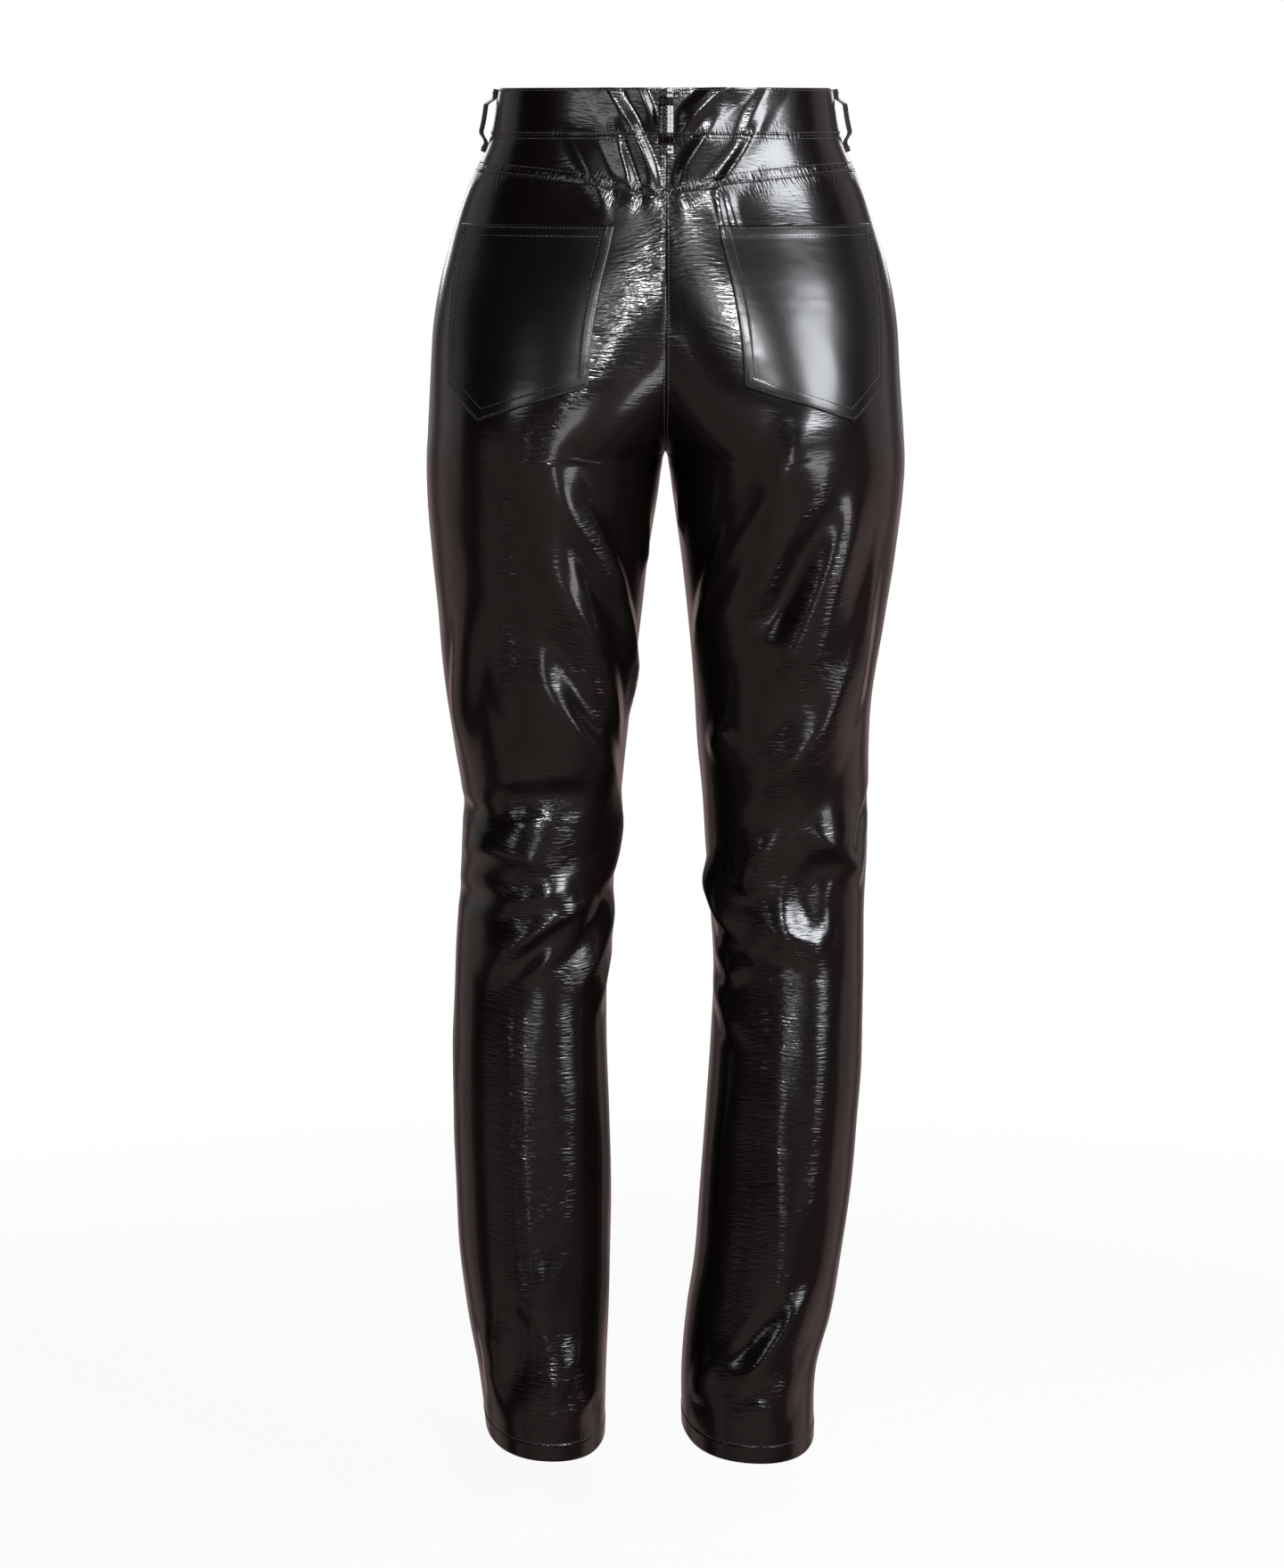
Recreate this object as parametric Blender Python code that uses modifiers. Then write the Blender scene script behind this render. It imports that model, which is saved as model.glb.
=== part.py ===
"""Vinyl trousers, worn pose, hollow: waistband, yokes, straight legs, patch pockets, fly and belt loops.

Metres, +Z up. The origin is the centre of the waist opening at half the height of the waistband.
The front faces -Y, the back +Y, and +X is the wearer's left. Sizes below are millimetres.

Each leg is one run of rings from waist to hem. A ring is a rounded oval round the middle of its leg,
and a point on it is given by its height and by its angle: 0 at the outer side, 90 at the back,
180 at the inseam and -90 at the front. Above the crotch a ring reaches past the centre plane,
where the other side cuts it off, so that the two legs grow together into the hips.
"""

from typing import NamedTuple

import bmesh
import bpy
import numpy as np
from mathutils import Vector

MM = 0.001

# Cloth
PANEL_WALL = 1.5
BAND_WALL = 2.0
PATCH_WALL = 1.2
LOOP_WALL = 1.6
GAP = 0.3
BAND_PROUD = 0.5

# Heights
BAND_TOP = 17.5
BAND_SEAM = -17.5
YOKE_AT_BACK = -63.5
YOKE_AT_SIDE = -45.0
CROTCH = -259.0
HEM_MIDDLE = -1038.0
HEM_BACK_DROP = 7.0

# Roundness of the rings: 2 is an oval, more is squarer
ROUNDNESS_LEG = 2.12
ROUNDNESS_WAIST_FRONT = 2.5
ROUNDNESS_WAIST_BACK = 2.25

# Belt loops
LOOP_WIDTH = 12.0
LOOP_TOP = 16.5
LOOP_BOTTOM = -31.0
LOOP_FOOT = 6.0
LOOP_BEND = 7.0
LOOP_BOW = 6.0
LOOP_FRONT_BOW = 7.8
LOOP_FRONT_ACROSS = 50.0

# Closure at the centre front
UNDERLAP = 34.0
OVERLAP = 3.0
UNDERLAP_RAMP = 8.0
FLY_WIDTH = 36.0
BUTTON_ACROSS = 14.0
BUTTON_RADIUS = 8.5


class Ring(NamedTuple):
    """A level of one leg: its height, its reach across to the outside, to its deepest place and to the
    inside, all from the centre plane, and its front and its back."""

    z: float
    outer: float
    middle: float
    inner: float
    front: float
    back: float


HIP_RINGS = (
    Ring(18, 127, 0, -127, -88, 88),
    Ring(-17, 133, 0, -133, -92, 91),
    Ring(-60, 152, 2, -150, -98, 96),
    Ring(-90, 162, 15, -136, -103, 103),
    Ring(-129, 173, 36, -108, -108, 114),
    Ring(-160, 178, 52, -83, -110, 121),
    Ring(-187, 180, 64.5, -61, -110, 126),
    Ring(-209, 181, 74, -42, -109, 129),
    Ring(-229, 182, 81.5, -26, -107, 129),
    Ring(-245, 183, 86.5, -12.5, -105, 127),
    Ring(-259, 184, 90, 0.4, -103, 124),
    Ring(-270, 184.3, 92, 2.8, -102, 121),
)
LEFT_LEG_RINGS = (
    Ring(-290, 184, 95, 5.5, -100, 115),
    Ring(-340, 180.5, 97, 13.5, -97, 103),
    Ring(-390, 176, 97.5, 19, -93, 93),
    Ring(-440, 171.5, 98, 25, -90, 85),
    Ring(-490, 164.5, 97.5, 30.5, -86, 77),
    Ring(-530, 158.5, 96.5, 34.5, -82, 69),
    Ring(-570, 159.5, 99, 38, -78, 62),
    Ring(-615, 162.5, 102, 42, -74, 58),
    Ring(-665, 165, 105, 45.5, -70, 60),
    Ring(-720, 167, 106.5, 46, -66, 65),
    Ring(-780, 167, 105.5, 44, -62, 69),
    Ring(-840, 165, 104, 42.5, -59, 72),
    Ring(-900, 162, 103, 43.5, -57, 75),
    Ring(-940, 157, 101, 44.5, -57, 77),
    Ring(-985, 149, 98, 46.5, -58, 80),
    Ring(-1045, 141.5, 95, 48, -60, 84),
)
RIGHT_LEG_RINGS = (
    Ring(-290, 183.5, 94.5, 5.5, -100, 115),
    Ring(-340, 178, 95, 12.5, -98, 102),
    Ring(-390, 170.5, 94, 18, -95, 91),
    Ring(-440, 163, 93, 22.5, -93, 82),
    Ring(-490, 160, 93, 25.5, -91, 73),
    Ring(-530, 160, 95, 29.5, -88, 65),
    Ring(-570, 159.5, 96, 32, -84, 58),
    Ring(-615, 157.5, 96.5, 35.5, -79, 54),
    Ring(-665, 157, 98, 38.5, -73, 57),
    Ring(-720, 156, 96, 36.5, -67, 63),
    Ring(-780, 153, 93, 32.5, -62, 69),
    Ring(-840, 147.5, 88, 28, -58, 74),
    Ring(-900, 139, 81, 23.5, -55, 78),
    Ring(-940, 132, 75, 17.5, -54, 81),
    Ring(-985, 120.5, 67, 13.5, -54, 85),
    Ring(-1045, 118.5, 66, 14, -55, 89),
)


class SeamPlace(NamedTuple):
    """Where the outseam runs at a height: its angle towards the back."""

    z: float
    angle: float


LEFT_OUTSEAM = (SeamPlace(18, 0), SeamPlace(-200, -4), SeamPlace(-600, -6), SeamPlace(-1045, -4))
RIGHT_OUTSEAM = (
    SeamPlace(18, 0),
    SeamPlace(-90, 6),
    SeamPlace(-240, 20),
    SeamPlace(-325, 32),
    SeamPlace(-400, 20),
    SeamPlace(-470, 6),
    SeamPlace(-600, 2),
    SeamPlace(-1045, 0),
)


class Pocket(NamedTuple):
    """The five corners of a patch pocket: heights, and distances from the centre back."""

    top: float
    side_bottom: float
    tip: float
    outer_top: float
    outer_bottom: float
    inner_top: float
    inner_bottom: float


POCKET = Pocket(-84, -202, -229, 153, 163, 38.5, 58)


class Fold(NamedTuple):
    """A ridge (or, below zero, a trough) along a curve through three places on a leg."""

    z_from: float
    angle_from: float
    z_mid: float
    angle_mid: float
    z_to: float
    angle_to: float
    half_width: float
    height: float


LEFT_FOLDS = (
    # back: under the seat, down the thigh, behind the knee, calf and ankle
    Fold(-200, 94, -235, 84, -262, 88, 26, 5),
    Fold(-262, 90, -345, 110, -455, 166, 26, 9),
    Fold(-285, 104, -355, 128, -425, 154, 24, -8),
    Fold(-340, 86, -400, 105, -495, 140, 24, 6),
    Fold(-420, 84, -470, 98, -535, 152, 24, 7.5),
    Fold(-360, 54, -430, 44, -495, 30, 24, 4.5),
    Fold(-530, 58, -526, 88, -524, 120, 22, -5),
    Fold(-566, 14, -556, 70, -580, 102, 22, 7),
    Fold(-648, 55, -610, 90, -586, 130, 24, 7.5),
    Fold(-608, 178, -637, 152, -684, 124, 22, 5),
    Fold(-665, 112, -770, 118, -875, 112, 28, 3),
    Fold(-918, 60, -950, 78, -1012, 60, 22, -6),
    Fold(-880, 118, -940, 104, -1005, 92, 24, 4.5),
    # front: out of the crotch, down the thigh, over the knee, shin and ankle
    Fold(-262, -160, -236, -112, -205, -62, 26, 7),
    Fold(-300, -168, -288, -122, -262, -72, 24, 6),
    Fold(-350, -62, -440, -92, -520, -138, 26, 6),
    Fold(-430, -18, -480, -48, -545, -80, 24, 5),
    Fold(-568, -26, -582, -78, -560, -140, 24, 6),
    Fold(-622, -34, -612, -90, -640, -150, 24, 5),
    Fold(-700, -70, -790, -96, -880, -82, 28, 4),
    Fold(-925, -18, -946, -78, -922, -146, 24, 7),
    Fold(-978, -160, -990, -104, -1010, -36, 22, 5),
)
RIGHT_FOLDS = (
    # back
    Fold(-240, 80, -312, 100, -430, 156, 26, 9),
    Fold(-262, 98, -322, 114, -390, 142, 22, -5),
    Fold(-278, 72, -345, 90, -402, 102, 22, -7),
    Fold(-275, 58, -363, 72, -453, 90, 24, 6),
    Fold(-370, 52, -462, 58, -526, 108, 26, 6),
    Fold(-540, 74, -563, 53, -585, 28, 22, 6),
    Fold(-566, 44, -597, 80, -650, 62, 22, -6),
    Fold(-574, 162, -603, 149, -632, 126, 22, 7),
    Fold(-640, 176, -672, 150, -722, 128, 22, 5),
    Fold(-680, 60, -780, 66, -880, 60, 28, 3),
    Fold(-900, 46, -946, 73, -996, 92, 24, 7.5),
    Fold(-912, 84, -945, 98, -980, 114, 22, -5),
    # front
    Fold(-258, -158, -240, -116, -214, -70, 26, 6),
    Fold(-292, -166, -282, -118, -252, -66, 24, 7),
    Fold(-372, -58, -448, -86, -530, -128, 26, 6),
    Fold(-410, -14, -470, -40, -540, -62, 24, 5),
    Fold(-574, -34, -562, -84, -584, -144, 24, 7),
    Fold(-618, -26, -634, -80, -616, -138, 24, 5),
    Fold(-690, -104, -780, -82, -872, -98, 28, 4),
    Fold(-918, -22, -938, -84, -928, -150, 24, 6),
    Fold(-984, -26, -974, -80, -1002, -150, 22, 6),
)

# Grid of the panels: columns run from the outseam inwards, rows from the top down
BACK_COLUMNS = 14
FRONT_COLUMNS = 11
POCKET_COLUMNS = (2, 5, 10)
FLY_COLUMNS = 3
YOKE_ROWS = 4
POCKET_TOP_ROW = 6
FLY_BOTTOM_ROW = 11
POCKET_BOTTOM_ROW = 14
CROTCH_STEPS = (0.48, 0.69, 0.83, 0.91, 0.965, 1.0)
THIGH_STEPS = (5.0, 11.0, 19.0)
LEG_ROWS = 40
BAND_COLUMNS = 24
FLY_BOTTOM = (-150.0, -170.0, -180.0, -184.0)

SHARP_ANGLE = 0.7
FOLD_PIECES = 12
FOLD_CLEAR_OF_CENTRE = 16.0


def through(rows: tuple, column: str, z: np.ndarray) -> np.ndarray:
    """A smooth curve through one column of a table whose rows run downwards."""
    heights = np.array([row.z for row in reversed(rows)], dtype=float)
    values = np.array([getattr(row, column) for row in reversed(rows)], dtype=float)
    slopes = np.gradient(values, heights)
    z = np.clip(z, heights[0], heights[-1])
    low = np.clip(np.searchsorted(heights, z) - 1, 0, len(heights) - 2)
    step = heights[low + 1] - heights[low]
    t = (z - heights[low]) / step
    start = (1 + 2 * t) * (1 - t) ** 2 * values[low] + t * (1 - t) ** 2 * step * slopes[low]
    end = t * t * (3 - 2 * t) * values[low + 1] + t * t * (t - 1) * step * slopes[low + 1]
    return start + end


def ease(start: float, end: float, value: np.ndarray) -> np.ndarray:
    """From 0 at start to 1 at end, level at both."""
    t = np.clip((value - start) / (end - start), 0, 1)
    return t * t * (3 - 2 * t)


class Side:
    """The left or right side of the trousers: its rings, outseam and folds."""

    def __init__(self, name: str, sign: int, leg_rings: tuple, outseam: tuple, folds: tuple, tilt: float):
        self.name = name
        self.sign = sign
        self.rings = HIP_RINGS + leg_rings
        self.outseam = outseam
        self.folds = folds
        self.hem_tilt = tilt

    def oval(self, z: np.ndarray, angle: np.ndarray) -> tuple[np.ndarray, np.ndarray]:
        """Distance across from the centre plane, and front to back, of a point on a smooth ring."""
        outer, middle, inner, front, back = (through(self.rings, name, z) for name in Ring._fields[1:])
        half_depth = (back - front) / 2
        turn = np.radians(angle)
        half_width = np.where(np.cos(turn) > 0, outer - middle, middle - inner)
        behind = (1 + np.sin(turn)) / 2
        waist = ease(CROTCH, -90, z)
        waist_roundness = ROUNDNESS_WAIST_FRONT + (ROUNDNESS_WAIST_BACK - ROUNDNESS_WAIST_FRONT) * behind
        power = ROUNDNESS_LEG + (waist_roundness - ROUNDNESS_LEG) * waist
        reach = (np.abs(np.cos(turn) / half_width) ** power + np.abs(np.sin(turn) / half_depth) ** power) ** (
            -1 / power
        )
        return middle + reach * np.cos(turn), (front + back) / 2 + reach * np.sin(turn)

    def radius(self, z: np.ndarray) -> np.ndarray:
        """The mean radius of a ring."""
        outer, _, inner, front, back = (through(self.rings, name, z) for name in Ring._fields[1:])
        return (outer - inner + back - front) / 4

    def angle_at(self, z: np.ndarray, across: np.ndarray, face: int) -> np.ndarray:
        """The angle at which a ring is this far from the centre plane, on the back (1) or front (-1)."""
        low = np.zeros_like(z)
        high = np.full_like(z, 180.0)
        for _ in range(36):
            mid = (low + high) / 2
            outside = self.oval(z, face * mid)[0] > across
            low = np.where(outside, mid, low)
            high = np.where(outside, high, mid)
        return face * low

    def inner_edge(self, z: np.ndarray, face: int) -> np.ndarray:
        """The angle of the centre seam above the crotch, and of the inseam below it."""
        inseam = 180 - np.degrees(GAP / 2 / self.radius(z))
        return face * np.minimum(np.abs(self.angle_at(z, np.full_like(z, GAP / 2), face)), inseam)

    def outer_edge(self, z: np.ndarray, face: int) -> np.ndarray:
        """The angle of the outseam, half a gap to the back or front of it."""
        return through(self.outseam, "angle", z) + face * np.degrees(GAP / 2 / self.radius(z))

    def hem(self, angle: np.ndarray) -> np.ndarray:
        """The height of the hem round the leg."""
        turn = np.radians(angle)
        return HEM_MIDDLE + self.hem_tilt * np.cos(turn) - HEM_BACK_DROP * np.sin(turn)

    def fold_height(self, z: np.ndarray, angle: np.ndarray) -> np.ndarray:
        """How far the folds lift the cloth off its smooth ring."""
        lift = np.zeros_like(z)
        t = np.linspace(0, 1, FOLD_PIECES + 1)
        for fold in self.folds:
            bend_z = 2 * fold.z_mid - (fold.z_from + fold.z_to) / 2
            bend_angle = 2 * fold.angle_mid - (fold.angle_from + fold.angle_to) / 2
            path_z = (1 - t) ** 2 * fold.z_from + 2 * t * (1 - t) * bend_z + t * t * fold.z_to
            path_angle = (1 - t) ** 2 * fold.angle_from + 2 * t * (1 - t) * bend_angle + t * t * fold.angle_to
            apart = (angle[..., None] - path_angle + 180) % 360 - 180
            round_the_leg = np.radians(apart) * self.radius(z)[..., None]
            down = z[..., None] - path_z
            run_z = np.diff(path_z)
            run_round = np.radians(np.diff(path_angle)) * self.radius(path_z[:-1])
            start_z = down[..., :-1]
            start_round = round_the_leg[..., :-1]
            along = np.clip((start_z * run_z + start_round * run_round) / (run_z**2 + run_round**2), 0, 1)
            distance = np.hypot(start_z - along * run_z, start_round - along * run_round)
            nearest = np.argmin(distance, axis=-1)[..., None]
            travelled = np.take_along_axis(along, nearest, -1)[..., 0] + nearest[..., 0]
            offset = np.take_along_axis(distance, nearest, -1)[..., 0]
            profile = np.clip(1 - (offset / fold.half_width) ** 2, 0, 1) ** 2
            taper = np.sin(np.pi * np.clip(travelled / FOLD_PIECES, 0.06, 0.94)) ** 0.7
            lift += fold.height * profile * taper
        across = self.oval(z, angle)[0]
        return lift * np.where(z > CROTCH, ease(2, FOLD_CLEAR_OF_CENTRE, across), 1)

    def surface(self, z: np.ndarray, angle: np.ndarray, out: np.ndarray | float = 0.0) -> np.ndarray:
        """Points on the cloth's outside in metres, moved out by a distance."""
        tiny = 0.02
        across, deep = self.oval(z, angle)
        across_on, deep_on = self.oval(z, angle + tiny)
        across_up, deep_up = self.oval(z + tiny, angle)
        round_way = np.stack([across_on - across, deep_on - deep, np.zeros_like(z)], -1)
        up_way = np.stack([across_up - across, deep_up - deep, np.full_like(z, tiny)], -1)
        normal = np.cross(round_way, up_way)
        normal /= np.linalg.norm(normal, axis=-1, keepdims=True)
        lift = self.fold_height(z, angle) + out
        points = np.stack([across, deep, z], -1) + normal * lift[..., None]
        return points * np.array([self.sign, 1, 1]) * MM


LEFT = Side("left", 1, LEFT_LEG_RINGS, LEFT_OUTSEAM, LEFT_FOLDS, 5.5)
RIGHT = Side("right", -1, RIGHT_LEG_RINGS, RIGHT_OUTSEAM, RIGHT_FOLDS, -5.5)


def between(anchors: dict, count: int) -> np.ndarray:
    """Rows 0 to count, evenly spaced from each anchored row to the next."""
    marks = sorted(anchors)
    rows = []
    for row in range(count + 1):
        above = max(mark for mark in marks if mark <= row)
        below = min(mark for mark in marks if mark >= row)
        share = (row - above) / max(below - above, 1)
        rows.append(anchors[above] + (anchors[below] - anchors[above]) * share)
    return np.array(rows)


def one_per_column(marks: dict, count: int, z: np.ndarray) -> np.ndarray:
    """For the grid of heights z, the angle of each point's own column, spaced between the marked ones."""
    angles = np.moveaxis(between(marks, count), 0, -1)
    columns = np.broadcast_to(np.arange(z.shape[-1]), z.shape)
    return np.take_along_axis(angles, columns[..., None], -1)[..., 0]


def back_angles(side: Side, z: np.ndarray) -> np.ndarray:
    """The angles of the back panel's grid, whose columns follow the sides of the pocket."""
    outer = side.outer_edge(z, 1)
    inner = side.inner_edge(z, 1)
    level = np.clip((z - POCKET.top) / (POCKET.side_bottom - POCKET.top), 0, 1)
    corners = []
    for top, bottom in ((POCKET.outer_top, POCKET.outer_bottom), (POCKET.inner_top, POCKET.inner_bottom)):
        at_top = side.angle_at(np.array([POCKET.top]), np.array([top]), 1)
        at_bottom = side.angle_at(np.array([POCKET.side_bottom]), np.array([bottom]), 1)
        corners.append(at_top + (at_bottom - at_top) * level)
    even = ease(POCKET.tip + 10, CROTCH - 100, z)
    pocket_from, _, pocket_to = POCKET_COLUMNS
    for number, column in enumerate((pocket_from, pocket_to)):
        natural = outer + (inner - outer) * column / BACK_COLUMNS
        corners[number] = corners[number] + (natural - corners[number]) * even
    marks = {0: outer, pocket_from: corners[0], pocket_to: corners[1], BACK_COLUMNS: inner}
    return one_per_column(marks, BACK_COLUMNS, z)


def front_angles(side: Side, z: np.ndarray) -> np.ndarray:
    """The angles of the front panel's grid, whose last columns follow the edge of the fly."""
    outer = side.outer_edge(z, -1)
    inner = side.inner_edge(z, -1)
    fly_column = FRONT_COLUMNS - FLY_COLUMNS
    fly = side.angle_at(z, np.full_like(z, FLY_WIDTH), -1)
    natural = outer + (inner - outer) * fly_column / FRONT_COLUMNS
    fly = fly + (natural - fly) * ease(FLY_BOTTOM[-1], CROTCH + 20, z)
    marks = {0: outer, fly_column: fly, FRONT_COLUMNS: inner}
    return one_per_column(marks, FRONT_COLUMNS, z)


def panel_levels(side: Side, columns: int, hips: dict, hem_angles: np.ndarray) -> np.ndarray:
    """Heights of a panel's grid: the hips' anchored rows, the steps to the crotch and the leg."""
    last_hip = max(hips)
    anchors = {}
    for row, level in hips.items():
        anchors[row] = np.broadcast_to(np.asarray(level, dtype=float), columns + 1)
    for step, share in enumerate(CROTCH_STEPS, start=1):
        anchors[last_hip + step] = anchors[last_hip] + (CROTCH - anchors[last_hip]) * share
    fork = last_hip + len(CROTCH_STEPS)
    for step, drop in enumerate(THIGH_STEPS, start=1):
        anchors[fork + step] = anchors[fork] - drop
    last_row = fork + LEG_ROWS
    anchors[last_row] = side.hem(hem_angles)
    return between(anchors, last_row)


def yoke_seam(side: Side) -> np.ndarray:
    """The height of the seam under the yoke at each column of the back."""
    angles = back_angles(side, np.full(BACK_COLUMNS + 1, (YOKE_AT_BACK + YOKE_AT_SIDE) / 2))
    rise = np.cos(np.radians(angles - angles[0])) * (YOKE_AT_SIDE - YOKE_AT_BACK)
    return YOKE_AT_BACK + rise


def back_levels(side: Side) -> np.ndarray:
    """Heights of the back panel's grid."""
    start, tip, end = POCKET_COLUMNS
    low = np.interp(
        np.arange(BACK_COLUMNS + 1), (start, tip, end), (POCKET.side_bottom, POCKET.tip, POCKET.side_bottom)
    )
    hips = {
        0: yoke_seam(side) - GAP / 2,
        POCKET_TOP_ROW - YOKE_ROWS: POCKET.top,
        POCKET_BOTTOM_ROW - YOKE_ROWS: low,
    }
    return panel_levels(side, BACK_COLUMNS, hips, np.linspace(0, 180, BACK_COLUMNS + 1))


def front_levels(side: Side) -> np.ndarray:
    """Heights of the front panel's grid."""
    evenly = POCKET.top + (POCKET.side_bottom - POCKET.top) * (FLY_BOTTOM_ROW - POCKET_TOP_ROW) / (
        POCKET_BOTTOM_ROW - POCKET_TOP_ROW
    )
    fly_column = FRONT_COLUMNS - FLY_COLUMNS
    fly = np.interp(
        np.arange(FRONT_COLUMNS + 1), (0, *range(fly_column, FRONT_COLUMNS + 1)), (evenly, *FLY_BOTTOM)
    )
    hips = {
        0: BAND_SEAM - GAP / 2,
        YOKE_ROWS: YOKE_AT_SIDE,
        POCKET_TOP_ROW: POCKET.top,
        FLY_BOTTOM_ROW: fly,
        POCKET_BOTTOM_ROW: POCKET.side_bottom,
    }
    return panel_levels(side, FRONT_COLUMNS, hips, -np.linspace(0, 180, FRONT_COLUMNS + 1))


def cloth(name: str, place, out: np.ndarray | float, wall: float, material: bpy.types.Material) -> None:
    """A wall of cloth on a grid, with rows from the top down; place gives its points at a distance out."""
    outside = place(out)
    inside = place(out - wall)
    rows, columns = outside.shape[0] - 1, outside.shape[1] - 1
    mesh = bpy.data.meshes.new(name)
    bm = bmesh.new()
    bmesh.ops.create_grid(bm, x_segments=columns, y_segments=rows, size=0.5)
    column_of = bm.verts.layers.int.new("column")
    row_of = bm.verts.layers.int.new("row")
    for vert in bm.verts:
        vert[column_of] = round((vert.co.x + 0.5) * columns)
        vert[row_of] = round((0.5 - vert.co.y) * rows)
    extruded = bmesh.ops.extrude_face_region(bm, geom=bm.faces[:])
    inner_verts = {element for element in extruded["geom"] if isinstance(element, bmesh.types.BMVert)}
    for vert in bm.verts:
        points = inside if vert in inner_verts else outside
        vert.co = points[vert[row_of], vert[column_of]]
    bmesh.ops.recalc_face_normals(bm, faces=bm.faces[:])
    if bm.calc_volume(signed=True) < 0:
        bmesh.ops.reverse_faces(bm, faces=bm.faces[:])
    bm.to_mesh(mesh)
    bm.free()
    mesh.materials.append(material)
    mesh.shade_smooth()
    mesh.set_sharp_from_angle(angle=SHARP_ANGLE)
    collection.objects.link(bpy.data.objects.new(name, mesh))


def finish(name: str, colour: tuple, roughness: float, metallic: float = 0.0) -> bpy.types.Material:
    """A plain Principled material."""
    material = bpy.data.materials.new(name)
    material.use_nodes = True
    shader = material.node_tree.nodes["Principled BSDF"]
    shader.inputs["Base Color"].default_value = (*colour, 1)
    shader.inputs["Roughness"].default_value = roughness
    shader.inputs["Metallic"].default_value = metallic
    material.diffuse_color = (*colour, 1)
    return material


def patent(name: str) -> bpy.types.Material:
    """Glossy near-black vinyl."""
    return finish(f"Vinyl_{name}", (0.018, 0.014, 0.014), 0.2)


def back(side: Side) -> None:
    """The back panel from yoke seam to hem, and the patch pocket on it."""
    levels = back_levels(side)
    angles = back_angles(side, levels)
    name = f"back_{side.name}"
    cloth(name, lambda out: side.surface(levels, angles, out), 0.0, PANEL_WALL, patent(name))
    start, _, end = POCKET_COLUMNS
    part = (
        slice(POCKET_TOP_ROW - YOKE_ROWS, POCKET_BOTTOM_ROW - YOKE_ROWS + 1),
        slice(start, end + 1),
    )
    name = f"pocket_{side.name}"
    patch = levels[part], angles[part]
    satin = finish(f"Satin_{name}", (0.02, 0.016, 0.016), 0.38)
    cloth(name, lambda out: side.surface(*patch, out), GAP + PATCH_WALL, PATCH_WALL, satin)


def front(side: Side) -> None:
    """The front panel from waistband to hem; the left one carries the fly."""
    levels = front_levels(side)
    angles = front_angles(side, levels)
    name = f"front_{side.name}"
    cloth(name, lambda out: side.surface(levels, angles, out), 0.0, PANEL_WALL, patent(name))
    if side is LEFT:
        part = (slice(0, FLY_BOTTOM_ROW + 1), slice(FRONT_COLUMNS - FLY_COLUMNS, FRONT_COLUMNS + 1))
        fly = levels[part], angles[part]
        cloth("fly", lambda out: side.surface(*fly, out), GAP + PATCH_WALL, PATCH_WALL, patent("fly"))


def yoke(side: Side) -> None:
    """The shaped band between the waistband and the back panel."""
    top = np.full(BACK_COLUMNS + 1, BAND_SEAM - GAP / 2)
    levels = between({0: top, YOKE_ROWS: yoke_seam(side) + GAP / 2}, YOKE_ROWS)
    angles = back_angles(side, levels)
    name = f"yoke_{side.name}"
    cloth(name, lambda out: side.surface(levels, angles, out), 0.0, PANEL_WALL, patent(name))


def waistband(side: Side) -> None:
    """Half of the waistband, from the centre back to its lap at the centre front."""
    heights = np.linspace(BAND_TOP, BAND_SEAM + GAP / 2, 3)
    at = np.zeros(1)
    back_end = side.inner_edge(at, 1)[0]
    if side is LEFT:
        laps = side.angle_at(at, np.array([-OVERLAP]), -1)
        inward = np.zeros(1)
    else:
        ramp_foot = OVERLAP + GAP
        marks = np.array([ramp_foot + UNDERLAP_RAMP, ramp_foot, 0.0, -UNDERLAP / 2, -UNDERLAP])
        laps = side.angle_at(np.zeros_like(marks), marks, -1)
        inward = np.array([0.0, 1, 1, 1, 1]) * (BAND_WALL + GAP)
    angles = np.append(np.linspace(back_end, laps[0], BAND_COLUMNS + 1), laps[1:])
    levels, turns = np.meshgrid(heights, angles, indexing="ij")
    proud = BAND_PROUD - np.append(np.zeros(BAND_COLUMNS), inward) * np.ones_like(levels)
    name = f"waistband_{side.name}"
    cloth(name, lambda out: side.surface(levels, turns, out), proud, BAND_WALL, patent(name))


def belt_loop(name: str, side: Side, angle: float, bow: float) -> None:
    """A strip over the waistband, flat at both ends and bowed out between them."""
    upper_foot = LOOP_TOP - LOOP_FOOT
    lower_foot = LOOP_BOTTOM + LOOP_FOOT
    free = np.linspace(upper_foot - LOOP_BEND / 2, lower_foot + LOOP_BEND / 2, 6)
    heights = np.array([LOOP_TOP, upper_foot, *free, lower_foot, LOOP_BOTTOM])
    foot = np.where(heights > BAND_SEAM, BAND_PROUD, 0) + GAP + LOOP_WALL
    rise = ease(upper_foot, upper_foot - LOOP_BEND, heights)
    fall = 1 - ease(lower_foot + LOOP_BEND, lower_foot, heights)
    half_turn = np.degrees(LOOP_WIDTH / 2 / side.radius(np.zeros(1))[0])
    levels, turns = np.meshgrid(heights, np.linspace(angle - half_turn, angle + half_turn, 3), indexing="ij")
    outer = (foot + bow * rise * fall)[:, None] * np.ones_like(levels)
    cloth(name, lambda out: side.surface(levels, turns, out), outer, LOOP_WALL, patent(name))


def belt_loops() -> None:
    """Five loops: centre back, both sides and both fronts."""
    at = np.zeros(1)
    belt_loop("belt_loop_back", LEFT, 90.0, LOOP_BOW)
    for side in (LEFT, RIGHT):
        belt_loop(f"belt_loop_side_{side.name}", side, 0.0, LOOP_BOW)
        forward = side.angle_at(at, np.array([LOOP_FRONT_ACROSS]), -1)[0]
        belt_loop(f"belt_loop_front_{side.name}", side, forward, LOOP_FRONT_BOW)


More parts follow.
